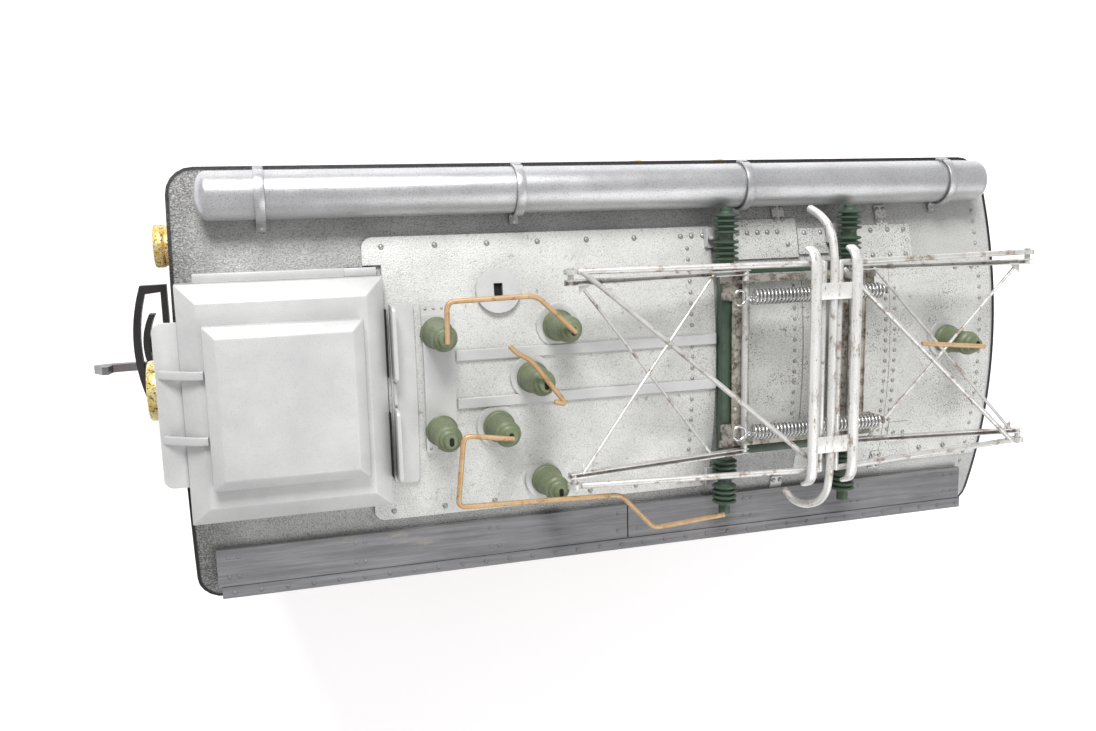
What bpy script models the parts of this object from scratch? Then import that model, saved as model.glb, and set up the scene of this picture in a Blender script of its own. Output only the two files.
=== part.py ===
"""A large-scale model electric locomotive: a two-axle box cab with a folding pantograph.

Sizes are in millimetres and turned into metres as each shape is made. The origin is on the
ground under the middle of the locomotive; X runs along it with the front end at -X, Y runs
across it with the air tank at +Y, and Z is up. "Stations" are distances from the front end of
the roof, and "levels" are heights over the crown of the roof.
"""

from math import acos, asin, atan2, cos, degrees, pi, radians, sin, sqrt, tau

import bmesh
import bpy
from mathutils import Matrix, Vector

MM = 0.001
GAP = 0.3                     # clear space between two pieces that touch

# Driving dimensions
ROOF_LENGTH = 245.4
ROOF_HALF_WIDTH = 58.0
CROWN_HEIGHT = 142.0          # crown of the roof over the ground
ARCH_DROP = 12.1              # how far the roof falls from its crown to its edge
ROOF_THICKNESS = 2.0
ROOF_SKIRT = 3.0

PLATE_TOP = 1.1               # riveted plate over the roof surface
CAB_INSET = 4.0
CAB_HALF_WIDTH = 53.5
CAB_FLOOR = -105.0            # level of the cab's lower edge
WALL = 2.5

WHEELBASE = 110.0
FLANGE_RADIUS = 19.0
TREAD_RADIUS = 16.0
BACK_TO_BACK = 40.0
WHEEL_WIDTH = 6.8
AXLE_RADIUS = 2.0
AXLE_LEVEL = FLANGE_RADIUS - CROWN_HEIGHT
GEAR_RADIUS = 7.0

COUPLER_LEVEL = -112.0

PANTO_STATION = 171.4
SHAFT_SPREAD = 17.5           # each base shaft from the middle of the pantograph
APEX_SPREAD = 2.5             # each apex tube from the middle
SHAFT_LEVEL = 7.2
LOWER_ARM = 55.0
UPPER_ARM = SHAFT_SPREAD - APEX_SPREAD + LOWER_ARM
LOWER_REST_ANGLE = radians(8.0)
LOWER_HALF_WIDTH = 26.0
UPPER_HALF_WIDTH = 28.9
BAR_LEVEL = 2.6
BAR_STATIONS = (150.0, 190.0)
SIDE_BAR_Y = 26.6
SPRING_Y = 19.4
SPRING_LEVEL = 12.0

TANK_RADIUS = 6.2
TANK_Y = 50.4
TANK_LEVEL = -2.2

FINISHES = {                  # colour, roughness, metallic
    "roof_silver": ((0.56, 0.56, 0.55), 0.45, 0.6),
    "plate_silver": ((0.68, 0.68, 0.67), 0.4, 0.5),
    "tank_silver": ((0.6, 0.6, 0.62), 0.3, 0.8),
    "walkway_grey": ((0.2, 0.2, 0.22), 0.6, 0.0),
    "insulator_green": ((0.16, 0.24, 0.13), 0.45, 0.0),
    "frame_green": ((0.05, 0.13, 0.07), 0.45, 0.0),
    "copper_wire": ((0.6, 0.36, 0.16), 0.35, 0.9),
    "panto_steel": ((0.62, 0.6, 0.56), 0.4, 0.8),
    "spring_steel": ((0.65, 0.65, 0.65), 0.3, 1.0),
    "cab_paint": ((0.32, 0.03, 0.025), 0.35, 0.0),
    "window_clear": ((0.5, 0.6, 0.65), 0.08, 0.0),
    "frame_black": ((0.025, 0.025, 0.027), 0.5, 0.0),
    "lamp_brass": ((0.75, 0.52, 0.16), 0.35, 0.9),
    "hook_steel": ((0.4, 0.4, 0.41), 0.4, 0.8),
    "wheel_steel": ((0.3, 0.3, 0.31), 0.35, 0.9),
    "motor_steel": ((0.45, 0.45, 0.47), 0.35, 0.9),
}


def station(x):
    """X of a station, in millimetres."""
    return x - ROOF_LENGTH / 2


def level(z):
    """Z of a level, in millimetres."""
    return CROWN_HEIGHT + z


def arch(y):
    """Level of the roof's outer surface at y."""
    return -ARCH_DROP * (y / ROOF_HALF_WIDTH) ** 2


# ---------------------------------------------------------------- scene and shapes

def clear_scene():
    for obj in list(bpy.data.objects):
        bpy.data.objects.remove(obj, do_unlink=True)


def new_collection(name):
    collection = bpy.data.collections.new(name)
    bpy.context.scene.collection.children.link(collection)
    return collection


clear_scene()
PARTS = new_collection("box_cab_electric_locomotive")
CUTTERS = new_collection("cutters")
CUTTERS.hide_render = True


def finish_material(finish):
    """The Principled material of one finish, made once."""
    made = bpy.data.materials.get(finish)
    if made:
        return made
    colour, roughness, metallic = FINISHES[finish]
    made = bpy.data.materials.new(finish)
    made.use_nodes = True
    shader = made.node_tree.nodes["Principled BSDF"]
    shader.inputs["Base Color"].default_value = (*colour, 1.0)
    shader.inputs["Roughness"].default_value = roughness
    shader.inputs["Metallic"].default_value = metallic
    return made


def mesh_object(mesh, name="shape"):
    obj = bpy.data.objects.new(name, mesh)
    CUTTERS.objects.link(obj)
    obj.display_type = "WIRE"
    obj.hide_render = True
    return obj


def from_bmesh(shape):
    mesh = bpy.data.meshes.new("shape")
    shape.to_mesh(mesh)
    shape.free()
    return mesh_object(mesh)


def box(x, y, z):
    """A block between two values, in millimetres, along each axis."""
    spans = [(min(s), max(s)) for s in (x, y, z)]
    size = Vector([b - a for a, b in spans]) * MM
    middle = Vector([(a + b) / 2 for a, b in spans]) * MM
    shape = bmesh.new()
    bmesh.ops.create_cube(shape, size=1.0, matrix=Matrix.Translation(middle) @ Matrix.Diagonal((*size, 1)))
    return from_bmesh(shape)


AXIS_TURN = {
    "X": Matrix.Rotation(pi / 2, 4, "Y"),
    "Y": Matrix.Rotation(-pi / 2, 4, "X"),
    "Z": Matrix.Identity(4),
}


def cylinder(radius, start, end, at, axis="Z", sides=20, end_radius=None):
    """A round bar along an axis from start to end; `at` holds its other two coordinates in order."""
    middle = list(at)
    middle.insert("XYZ".index(axis), (start + end) / 2)
    shape = bmesh.new()
    bmesh.ops.create_cone(
        shape, cap_ends=True, segments=sides, radius1=radius * MM,
        radius2=(radius if end_radius is None else end_radius) * MM, depth=abs(end - start) * MM,
        matrix=Matrix.Translation(Vector(middle) * MM) @ AXIS_TURN[axis])
    return from_bmesh(shape)


def evaluated_mesh(obj):
    bpy.context.view_layer.update()
    graph = bpy.context.evaluated_depsgraph_get()
    mesh = bpy.data.meshes.new_from_object(obj.evaluated_get(graph))
    mesh.transform(obj.matrix_world)
    return mesh


def welded(obj):
    """A mesh object in place of a curve or a modified object, with its loose caps joined."""
    mesh = evaluated_mesh(obj)
    shape = bmesh.new()
    shape.from_mesh(mesh)
    bmesh.ops.remove_doubles(shape, verts=shape.verts, dist=0.002 * MM)
    bmesh.ops.recalc_face_normals(shape, faces=shape.faces)
    bpy.data.objects.remove(obj, do_unlink=True)
    return from_bmesh(shape)


PLANE_TURN = {
    "XY": Matrix.Identity(4),
    "YZ": Matrix(((0, 0, 1, 0), (1, 0, 0, 0), (0, 1, 0, 0), (0, 0, 0, 1))),
    "XZ": Matrix(((1, 0, 0, 0), (0, 0, -1, 0), (0, 1, 0, 0), (0, 0, 0, 1))),
}


def prism(outline, start, end, plane="XY"):
    """A flat outline drawn in a plane and drawn out between two values of the third axis."""
    curve = bpy.data.curves.new("outline", "CURVE")
    curve.dimensions = "2D"
    curve.fill_mode = "BOTH"
    curve.extrude = abs(end - start) / 2 * MM
    spline = curve.splines.new("POLY")
    spline.points.add(len(outline) - 1)
    for point, (u, v) in zip(spline.points, outline):
        point.co = (u * MM, v * MM, 0, 1)
    spline.use_cyclic_u = True
    obj = bpy.data.objects.new("outline", curve)
    CUTTERS.objects.link(obj)
    middle = (start + end) / 2 * MM
    offset = {"XY": (0, 0, middle), "YZ": (middle, 0, 0), "XZ": (0, middle, 0)}[plane]
    obj.matrix_world = Matrix.Translation(offset) @ PLANE_TURN[plane]
    return welded(obj)


def wire(points, radius, resolution=2):
    """A round wire along points, in millimetres."""
    curve = bpy.data.curves.new("wire", "CURVE")
    curve.dimensions = "3D"
    curve.bevel_depth = radius * MM
    curve.bevel_resolution = resolution
    curve.use_fill_caps = True
    spline = curve.splines.new("POLY")
    spline.points.add(len(points) - 1)
    for point, place in zip(spline.points, points):
        point.co = (*[value * MM for value in place], 1)
    obj = bpy.data.objects.new("wire", curve)
    CUTTERS.objects.link(obj)
    return welded(obj)


def turned(profile, at, axis="Z", steps=20):
    """A turned piece: profile points are (radius, distance along the axis) from the top end down."""
    mesh = bpy.data.meshes.new("profile")
    points = [(radius * MM, 0, along * MM) for radius, along in profile]
    mesh.from_pydata(points, [(i, i + 1) for i in range(len(points) - 1)], [])
    obj = mesh_object(mesh)
    screw = obj.modifiers.new("Screw", "SCREW")
    screw.steps = screw.render_steps = steps
    screw.use_merge_vertices = True
    screw.merge_threshold = 0.00001
    screw.use_normal_calculate = True
    obj.matrix_world = Matrix.Translation(Vector(at) * MM) @ AXIS_TURN[axis]
    return welded(obj)


def boolean(obj, others, operation):
    """Joins, cuts or intersects obj with others, which are used up."""
    for other in others:
        modifier = obj.modifiers.new("Boolean", "BOOLEAN")
        modifier.operation = operation
        modifier.object = other
        modifier.solver = "EXACT"
    result = welded(obj)
    for other in others:
        bpy.data.objects.remove(other, do_unlink=True)
    return result


def joined(obj, *others):
    return boolean(obj, others, "UNION")


def cut(obj, *others):
    return boolean(obj, others, "DIFFERENCE")


def common(obj, *others):
    return boolean(obj, others, "INTERSECT")


def piece(name, obj, finish, pivot=(0, 0, 0), smooth=35):
    """Names a finished shape, gives it its finish, and puts its origin at its pivot."""
    obj.name = name
    obj.data.name = name
    place = Vector(pivot) * MM
    obj.data.transform(Matrix.Translation(-place))
    obj.location = place
    obj.data.materials.clear()
    obj.data.materials.append(finish_material(finish))
    obj.data.shade_smooth()
    obj.data.set_sharp_from_angle(angle=radians(smooth))
    CUTTERS.objects.unlink(obj)
    PARTS.objects.link(obj)
    obj.display_type = "TEXTURED"
    obj.hide_render = False
    return obj


# ---------------------------------------------------------------- outlines

def rounded_outline(x, y, radius, steps=5):
    """A rectangle between two values each way with round corners; radius is one value or four,
    from the low-low corner round to the low-high one."""
    radii = radius if isinstance(radius, (list, tuple)) else [radius] * 4
    corners = [(x[0], y[0], pi), (x[1], y[0], 1.5 * pi), (x[1], y[1], 0.0), (x[0], y[1], 0.5 * pi)]
    signs = [(1, 1), (-1, 1), (-1, -1), (1, -1)]
    outline = []
    for (cx, cy, angle), (sx, sy), r in zip(corners, signs, radii):
        if r <= 0:
            outline.append((cx, cy))
            continue
        for i in range(steps + 1):
            a = angle + pi / 2 * i / steps
            outline.append((cx + sx * r + r * cos(a), cy + sy * r + r * sin(a)))
    return outline


def arched_layer(y, low, high, steps=18):
    """A YZ outline that follows the roof between two widths, low to high above its surface."""
    across = [y[0] + (y[1] - y[0]) * i / steps for i in range(steps + 1)]
    top = [(v, level(arch(v) + high)) for v in across]
    bottom = [(v, level(arch(v) + low)) for v in reversed(across)]
    return top + bottom


def under_roof(clearance, x, depth=60.0):
    """Everything under a surface `clearance` above the roof: the cutter that fits a foot to it."""
    reach = ROOF_HALF_WIDTH + 6
    outline = arched_layer((-reach, reach), clearance - depth, clearance, steps=24)
    return prism(outline, station(x[0]), station(x[1]), "YZ")


def arc(centre, radius, start, end, steps):
    """Points on an arc, angles in degrees."""
    angles = [radians(start + (end - start) * i / steps) for i in range(steps + 1)]
    return [(centre[0] + radius * cos(a), centre[1] + radius * sin(a)) for a in angles]


def bent(points, radius, steps=3):
    """A path of straight runs with each corner rounded."""
    route = [Vector(p) for p in points]
    path = [route[0]]
    for before, corner, after in zip(route, route[1:], route[2:]):
        back = min(radius, (before - corner).length / 2.2)
        ahead = min(radius, (after - corner).length / 2.2)
        start = corner + (before - corner).normalized() * back
        end = corner + (after - corner).normalized() * ahead
        for i in range(steps + 1):
            t = i / steps
            path.append(start * (1 - t) ** 2 + corner * 2 * t * (1 - t) + end * t * t)
    path.append(route[-1])
    return [tuple(p) for p in path]


# ---------------------------------------------------------------- roof and its fixed fittings

HATCH_X = (1.0, 52.2)
HATCH_Y = (-32.6, 29.0)
BOSSES = {"insulator_b": (99.7, 13.4), "insulator_c": (91.8, -0.4), "insulator_e": (82.1, -13.6),
          "insulator_f": (96.2, -30.9)}
END_BOSS = (226.5, 1.8)
BOSS_RADIUS = 6.0
BOSS_HEIGHT = 1.9
STRIP_INSULATORS = {"insulator_a": (65.9, 13.1), "insulator_d": (66.2, -13.4)}


def roof_shell():
    edge, inner = ROOF_HALF_WIDTH, ROOF_HALF_WIDTH - ROOF_THICKNESS
    steps = 26
    outer = [edge * (1 - 2 * i / steps) for i in range(steps + 1)]
    inside = [inner * (1 - 2 * i / steps) for i in range(steps + 1)]
    skirt = level(-ARCH_DROP - ROOF_SKIRT)
    section = [(edge, skirt)] + [(y, level(arch(y))) for y in outer] + [(-edge, skirt), (-inner, skirt)]
    section += [(y, level(arch(y) - ROOF_THICKNESS)) for y in reversed(inside)] + [(inner, skirt)]
    shell = prism(section, station(0), station(ROOF_LENGTH), "YZ")
    plan = rounded_outline((station(0), station(ROOF_LENGTH)), (-edge - 0.01, edge + 0.01), 7.0)
    shell = common(shell, prism(plan, level(-40), level(5)))
    x, y = END_BOSS
    boss = cylinder(BOSS_RADIUS, level(-1.0), level(0.9), (station(x), y), sides=24)
    return piece("roof_shell", joined(shell, boss), "roof_silver")


PLATE_X = (47.7, 147.7)
PLATE_HALF_WIDTH = 38.85
BAND_X = (70.8, 147.7)
BAND_Y = (5.2, 8.0)


def roof_plate():
    plate = prism(arched_layer((-PLATE_HALF_WIDTH - 1, PLATE_HALF_WIDTH + 1), GAP, PLATE_TOP, 22),
                  station(PLATE_X[0]), station(PLATE_X[1]), "YZ")
    plan = rounded_outline((station(PLATE_X[0]), station(PLATE_X[1]) + 1),
                           (-PLATE_HALF_WIDTH, PLATE_HALF_WIDTH), (3.0, 0, 0, 3.0))
    plate = common(plate, prism(plan, level(-20), level(5)))
    plate = cut(plate, box((station(40), station(HATCH_X[1] + GAP)),
                           (HATCH_Y[0] - GAP, HATCH_Y[1] + 2.6), (level(-12), level(5))))
    additions = []
    for side in (-1, 1):
        band = arched_layer(sorted((side * BAND_Y[0], side * BAND_Y[1])), 0.6, PLATE_TOP + 0.5, 3)
        additions.append(prism(band, station(BAND_X[0]), station(BAND_X[1]), "YZ"))
    for x, y in BOSSES.values():
        additions.append(cylinder(BOSS_RADIUS, level(arch(y) + 0.7 - abs(y) * 0.03),
                                  level(arch(y) + BOSS_HEIGHT), (station(x), y), sides=24))
    plate = joined(plate, *additions)
    return piece("roof_plate", cut(plate, under_roof(GAP, (40, 155))), "plate_silver")


def tiered_block(x, y, tiers):
    """A block whose sides step in at each tier (level, inset) above the first."""
    shape = bmesh.new()
    (low, _), (first, _) = tiers[0], tiers[1]
    size = Vector((x[1] - x[0], y[1] - y[0], first - low)) * MM
    middle = Vector(((x[0] + x[1]) / 2, (y[0] + y[1]) / 2, (low + first) / 2)) * MM
    bmesh.ops.create_cube(shape, size=1.0, matrix=Matrix.Translation(middle) @ Matrix.Diagonal((*size, 1)))
    shape.faces.ensure_lookup_table()
    for height, inset in tiers[2:]:
        top = max(shape.faces, key=lambda f: f.calc_center_median().z)
        new = bmesh.ops.extrude_face_region(shape, geom=[top])["geom"]
        corners = [g for g in new if isinstance(g, bmesh.types.BMVert)]
        shape.faces.remove(top)
        for corner in corners:
            side_x = -1 if corner.co.x > middle.x else 1
            side_y = -1 if corner.co.y > middle.y else 1
            corner.co.x += side_x * inset * MM
            corner.co.y += side_y * inset * MM
            corner.co.z = height * MM
    bmesh.ops.recalc_face_normals(shape, faces=shape.faces)
    return from_bmesh(shape)


def hatch():
    x = tuple(station(v) for v in HATCH_X)
    lower = tiered_block(x, HATCH_Y, [(level(-8), 0), (level(2.4), 0), (level(5.7), 4.7)])
    flange = box((x[0] + 4.2, x[1] - 1.2), (HATCH_Y[1] - 1, HATCH_Y[1] + 2.2), (level(-8), level(-1.4)))
    step = box((x[1] - 9.5, x[1] - 1.2), (HATCH_Y[1] - 1, HATCH_Y[1] + 2.2), (level(-8), level(-0.5)))
    lower = cut(joined(lower, flange, step), under_roof(GAP, (-10, 60)))
    piece("hatch_base", lower, "plate_silver")
    lid_x = (station(7.1), station(46.1))
    lid = tiered_block(lid_x, (-22.5, 18.9), [(level(6.0), 0), (level(9.1), 0), (level(11.1), 2.9)])
    piece("hatch_lid", lid, "plate_silver")


def visor():
    plate = prism(rounded_outline((station(-5.1), station(0.6)), (-22.8, 19.6), (2.5, 0, 0, 2.5)),
                  level(GAP), level(1.2))
    rib = [(-4.0, 0.6), (-4.0, 1.7), (-1.8, 3.6), (1.0, 5.6), (3.8, 7.0), (6.75, 7.7),
           (6.75, 6.05), (5.45, 6.05), (0.65, 2.75), (0.6, 0.6)]
    outline = [(station(x), level(z)) for x, z in rib]
    ribs = [prism(outline, y - 1.1, y + 1.1, "XZ") for y in (6.7, -9.9)]
    return piece("lamp_visor", joined(plate, *ribs), "plate_silver")


def baffle_tray():
    """The low tray behind the hatch with its two upright baffles."""
    tray = prism(arched_layer((-27.8, 21.6), PLATE_TOP + GAP, PLATE_TOP + 1.1, 12),
                 station(53.2), station(60.0), "YZ")
    plan = rounded_outline((station(53.1), station(60.0)), (-27.8, 21.6), (0, 1.5, 1.5, 0))
    tray = common(tray, prism(plan, level(-12), level(8)))
    blades = []
    for low, high in ((1.4, 21.4), (-25.8, -6.1)):
        outline = rounded_outline((low, high), (level(-2.0), level(8.0)), (0, 0, 1.6, 1.6))
        blade = prism(outline, station(53.5), station(54.6), "YZ")
        blades.append(cut(blade, under_roof(PLATE_TOP + 0.6, (50, 60))))
    return piece("baffle_tray", joined(tray, *blades), "plate_silver")


def air_tank():
    dome, length = 3.2, 232.0
    arc_steps = 5
    top = [(TANK_RADIUS * sin(pi / 2 * i / arc_steps), length / 2 - dome * (1 - cos(pi / 2 * i / arc_steps)))
           for i in range(arc_steps + 1)]
    profile = top + [(r, -h) for r, h in reversed(top)]
    tank = turned(profile, (station(123.1), TANK_Y, level(TANK_LEVEL)), "X", steps=26)
    return piece("air_tank", tank, "tank_silver")


def tank_strap(index, x):
    inner, outer = TANK_RADIUS + GAP, TANK_RADIUS + 0.9
    centre = (TANK_Y, level(TANK_LEVEL))
    foot_y = 41.0
    foot = level(arch(foot_y) + GAP)
    start = 180 + degrees(asin(2.9 / outer))
    outline = arc(centre, outer, -8, start, 14)
    outline += [(TANK_Y - outer - 0.1, level(arch(43.4) + 1.3)), (foot_y, foot + 0.9), (foot_y, foot)]
    outline += [(TANK_Y - outer + 0.7, level(arch(44.4) + GAP + 0.1))]
    outline += arc(centre, inner, 180 + degrees(asin(3.4 / inner)), -8, 14)
    strap = prism(outline, station(x) - 1.3, station(x) + 1.3, "YZ")
    return piece(f"tank_strap_{index}", cut(strap, under_roof(GAP, (x - 5, x + 5))), "plate_silver")


WALKWAY_LEVEL = -4.5


def walkway():
    """The plank walkway with the lipped angle along its outer edge, as one moulding."""
    low, high = level(WALKWAY_LEVEL - 1.5), level(WALKWAY_LEVEL)
    plank = box((station(5.5), station(238.4)), (-53.4, -42.4), (low, high))
    feet = [box((station(x) - 2.5, station(x) + 2.5), (-50.5, -47.5), (level(-12), high - 1))
            for x in (20, 70, 122, 174, 224)]
    angle = [(-55.8, high + 0.3), (-55.8, high - 4.4), (-54.7, high - 4.4), (-54.7, high - 0.9),
             (-52.7, high - 0.9), (-52.7, high + 0.3)]
    lip = prism(angle, station(6.4), station(238.8), "YZ")
    piece("walkway", cut(joined(plank, lip, *feet), under_roof(GAP, (0, 245))), "walkway_grey")


def insulator_strip():
    strip = prism(arched_layer((-19.6, 18.2), PLATE_TOP + GAP + 0.5, PLATE_TOP + 1.6, 12),
                  station(62.0), station(70.4), "YZ")
    tab = prism(arched_layer((17.4, 21.2), PLATE_TOP + GAP, PLATE_TOP + 1.0, 2),
                station(62.0), station(69.2), "YZ")
    strip = cut(strip, cylinder(0.55, level(-5), level(5), (station(65.2), 7.0), sides=10))
    return piece("insulator_strip", joined(strip, tab), "plate_silver")


def disc_cover():
    x, y, radius = 83.4, 23.6, 6.15
    disc = cylinder(radius, -0.5, 0.5, (0, 0), sides=28)
    disc = cut(disc, box((-1.25, 1.25), (-2.0, 2.0), (-2, 2)))
    slope = -2 * ARCH_DROP * y / ROOF_HALF_WIDTH ** 2
    place = Matrix.Translation(Vector((station(x), y, level(arch(y) + PLATE_TOP + GAP + 0.7))) * MM)
    disc.data.transform(place @ Matrix.Rotation(atan2(slope, 1), 4, "X"))
    return piece("disc_cover", disc, "plate_silver")


INSULATOR_PROFILE = [  # radius, height over its foot
    (0, 14.6), (1.5, 14.6), (2.0, 14.1), (2.0, 12.9), (2.6, 12.7), (2.9, 12.2), (2.9, 11.3),
    (3.4, 11.0), (3.6, 10.4), (3.6, 9.4), (3.2, 9.1), (4.0, 1.6), (4.4, 1.3), (4.4, 0), (0, 0)]


def insulators():
    top = max(h for _, h in INSULATOR_PROFILE)
    places = {**{n: (p, BOSS_HEIGHT) for n, p in BOSSES.items()}, "insulator_g": (END_BOSS, 0.9)}
    for name, ((x, y), lift) in places.items():
        foot = arch(y) + lift + GAP if name != "insulator_g" else lift + GAP
        body = turned(INSULATOR_PROFILE, (station(x), y, level(foot)), steps=18)
        slot = box((station(x) - 0.6, station(x) + 0.6), (y - 1.0, y + 1.0), (level(foot + top - 1.5), level(foot + top + 1)))
        piece(name, cut(body, slot), "insulator_green", (station(x), y, level(foot)))
    for name, (x, y) in STRIP_INSULATORS.items():
        foot = arch(y) + 1.6
        stretched = [(r, h + 0.8 if h > 0 else h) for r, h in INSULATOR_PROFILE]
        body = turned(stretched, (station(x), y, level(foot)), steps=18)
        slot = box((station(x) - 0.6, station(x) + 0.6), (y - 1.0, y + 1.0),
                   (level(foot + top - 0.7), level(foot + top + 2)))
        body = cut(body, slot, under_roof(PLATE_TOP + 1.6 + GAP, (x - 8, x + 8)))
        piece(name, body, "insulator_green", (station(x), y, level(foot)))


WIRE_RADIUS = 0.72


def insulator_top(y, lift=BOSS_HEIGHT):
    """Level of an insulator's top, over which a wire passes clear."""
    return arch(y) + lift + GAP + 14.6


def copper_wires():
    over = WIRE_RADIUS + GAP
    top_a = arch(13.1) + 1.6 + 15.4
    top_b, top_c, top_e = insulator_top(13.4), insulator_top(-0.4), insulator_top(-13.6)
    top_g = END_BOSS[1] * 0 + 0.9 + GAP + 14.6
    routes = {
        "wire_a_to_b": [(65.9, 12.3, top_a + over), (66.2, 22.9, 16.6), (89.6, 23.3, 16.6),
                        (99.9, 13.2, top_b + over)],
        "wire_over_c": [(81.9, 10.8, 17.9), (84.0, 8.6, top_c + over), (87.2, 7.0, top_c + over),
                        (96.8, -5.6, top_c + over), (93.6, -4.6, top_c + over - 0.4 + 0.5)],
        "wire_e_to_bar": [(82.4, -13.8, top_e + over), (69.2, -11.8, 17.0), (67.2, -30.9, 16.2), (97.0, -32.3, 14.7),
                          (113.2, -33.2, 13.6), (125.2, -45.8, 8.2), (148.5, -45.4, 5.5)],
        "wire_to_g": [(207.4, 3.3, 15.2), (228.0, 1.4, top_g + over)],
    }
    for name, route in routes.items():
        points = [(station(x), y, level(z)) for x, y, z in route]
        piece(name, wire(bent(points, 2.6), WIRE_RADIUS), "copper_wire")


# ---------------------------------------------------------------- pantograph

PIVOT_Z = level(SHAFT_LEVEL)
KNEE_RISE = LOWER_ARM * sin(LOWER_REST_ANGLE)
KNEE_REACH = SHAFT_SPREAD + LOWER_ARM * cos(LOWER_REST_ANGLE)
UPPER_REST_ANGLE = acos((KNEE_REACH - APEX_SPREAD) / UPPER_ARM)
KNEE_Z = PIVOT_Z + KNEE_RISE
APEX_Z = KNEE_Z + UPPER_ARM * sin(UPPER_REST_ANGLE)
PANTO_X = station(PANTO_STATION)


def rib_profile(tip):
    """Radius and Y of one insulator bar's outer half, from its tip inwards."""
    profile = [(0, tip), (1.7, tip), (1.7, 43.3)]
    for group in (42.2, 34.6):
        for i in range(4):
            y = group - 1.55 * i
            profile += [(2.3, y + 0.4), (3.6, y - 0.1), (2.3, y - 0.65)]
        if group > 40:
            profile += [(2.1, group - 5.8), (2.1, group - 7.1)]
    profile += [(2.2, 28.2), (2.2, 26.0), (0, 26.0)]
    return profile


def insulator_frame():
    """The green moulding under the pantograph: two ribbed bars and two side bars."""
    parts = []
    low, high = level(BAR_LEVEL - 1.9), level(BAR_LEVEL + 1.9)
    for bar in BAR_STATIONS:
        x = station(bar)
        for side in (-1, 1):
            profile = rib_profile(44.2) if side > 0 else [(r, -y) for r, y in reversed(rib_profile(46.0))]
            parts.append(turned(profile, (x, 0, level(BAR_LEVEL)), "Y", steps=14))
        parts.append(box((x - 1.9, x + 1.9), (-27.9, 27.9), (low, high)))
    for side in (-1, 1):
        y = side * SIDE_BAR_Y
        ends = (station(BAR_STATIONS[0]), station(BAR_STATIONS[1]))
        parts.append(box(ends, (y - 1.3, y + 1.3), (low + 0.4, high - 0.4)))
    return piece("insulator_frame", joined(parts[0], *parts[1:]), "frame_green")


def insulator_saddles():
    """The sheet saddles that hold the bars at their waists."""
    for bar, end_name in zip(BAR_STATIONS, ("front", "rear")):
        for side, side_name in ((-1, "right"), (1, "left")):
            x, y = station(bar), side * 35.7
            waist = level(BAR_LEVEL) - 2.1 - GAP
            upright = box((x - 3.6, x + 3.6), (y - 0.5, y + 0.5), (level(-14), waist))
            foot = box((x - 4.3, x + 4.3), (y - 2.9, y + 2.9), (level(-14), level(arch(y) + PLATE_TOP + 0.9)))
            saddle = cut(joined(upright, foot), under_roof(PLATE_TOP + GAP, (120, 210)))
            piece(f"saddle_{end_name}_{side_name}", saddle, "plate_silver")


def base_frame():
    """The tinplate frame on the insulator bars that carries both base shafts and the springs."""
    low = level(BAR_LEVEL + 1.9) + GAP
    front, rear = station(BAR_STATIONS[0]), station(BAR_STATIONS[1])
    parts = [box((front + 0.6, front + 6.0), (-25.0, 25.0), (low, low + 0.9))]
    parts.append(box((rear - 6.2, rear - 1.6), (-25.0, 25.0), (low, low + 0.9)))
    parts.append(box((rear + 1.2, rear + 4.6), (-25.0, 25.0), (low, low + 0.9)))
    for side in (-1, 1):
        y = side * 24.2
        parts.append(box((front - 3, rear + 7.5), (y - 1.2, y + 0.8) if side > 0 else (y - 0.8, y + 1.2), (low, low + 0.9)))
        for end in (-1, 1):
            shaft_x = PANTO_X + end * SHAFT_SPREAD
            cheek = rounded_outline((shaft_x - 2.3, shaft_x + 2.3), (low + 0.4, PIVOT_Z + 2.3), (0, 0, 1.6, 1.6), 3)
            cheek = prism(cheek, side * 23.4 - 0.5, side * 23.4 + 0.5, "XZ")
            parts.append(cut(cheek, cylinder(1.3, -30, 30, (shaft_x, PIVOT_Z), "Y", 14)))
        for post, inner in ((front - 2.2, front + 2.0), (rear + 7.0, rear + 3.0)):
            parts.append(box((post - 0.5, post + 0.5), (side * 18.2, side * 20.6), (low, level(SPRING_LEVEL + 0.9))))
            parts.append(box((post, inner), (side * 18.2, side * 25.0), (low, low + 0.9)))
    return piece("panto_base_frame", joined(parts[0], *parts[1:]), "panto_steel")


def lower_arm(end, name):
    """A base shaft with two channels out to the knees and a thin cross brace between them."""
    shaft_x = PANTO_X + end * SHAFT_SPREAD
    knee_x = PANTO_X + end * KNEE_REACH

    def along(t, y, lift=0.0):
        return (shaft_x + (knee_x - shaft_x) * t, y, PIVOT_Z + KNEE_RISE * t + lift)

    parts = [cylinder(1.0, -LOWER_HALF_WIDTH - 0.4, LOWER_HALF_WIDTH + 0.4, (shaft_x, PIVOT_Z), "Y", 12)]
    for side in (-1, 1):
        y = side * LOWER_HALF_WIDTH
        angle = atan2(KNEE_RISE, (knee_x - shaft_x))
        length = LOWER_ARM + 1.6
        channel = box((-1.2, length), (-0.75, 0.75), (-1.1, 1.1))
        channel.data.transform(Matrix.Translation(Vector((shaft_x, y, PIVOT_Z)) * MM) @ Matrix.Rotation(-angle, 4, "Y"))
        parts.append(channel)
        pin = sorted((side * (LOWER_HALF_WIDTH - 0.6), side * (UPPER_HALF_WIDTH + 1.1)))
        parts.append(cylinder(0.8, *pin, (knee_x, KNEE_Z), "Y", 12))
        near, far, reach = (0.2 if end < 0 else 0.11), 0.955, side * (LOWER_HALF_WIDTH - 0.2)
        brace = [along(far, reach, -0.35 * side), along(near, -reach, -0.35 * side)]
        parts.append(wire(brace, 0.5, 1))
    return piece(name, joined(parts[0], *parts[1:]), "panto_steel", (shaft_x, 0, PIVOT_Z))


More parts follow.
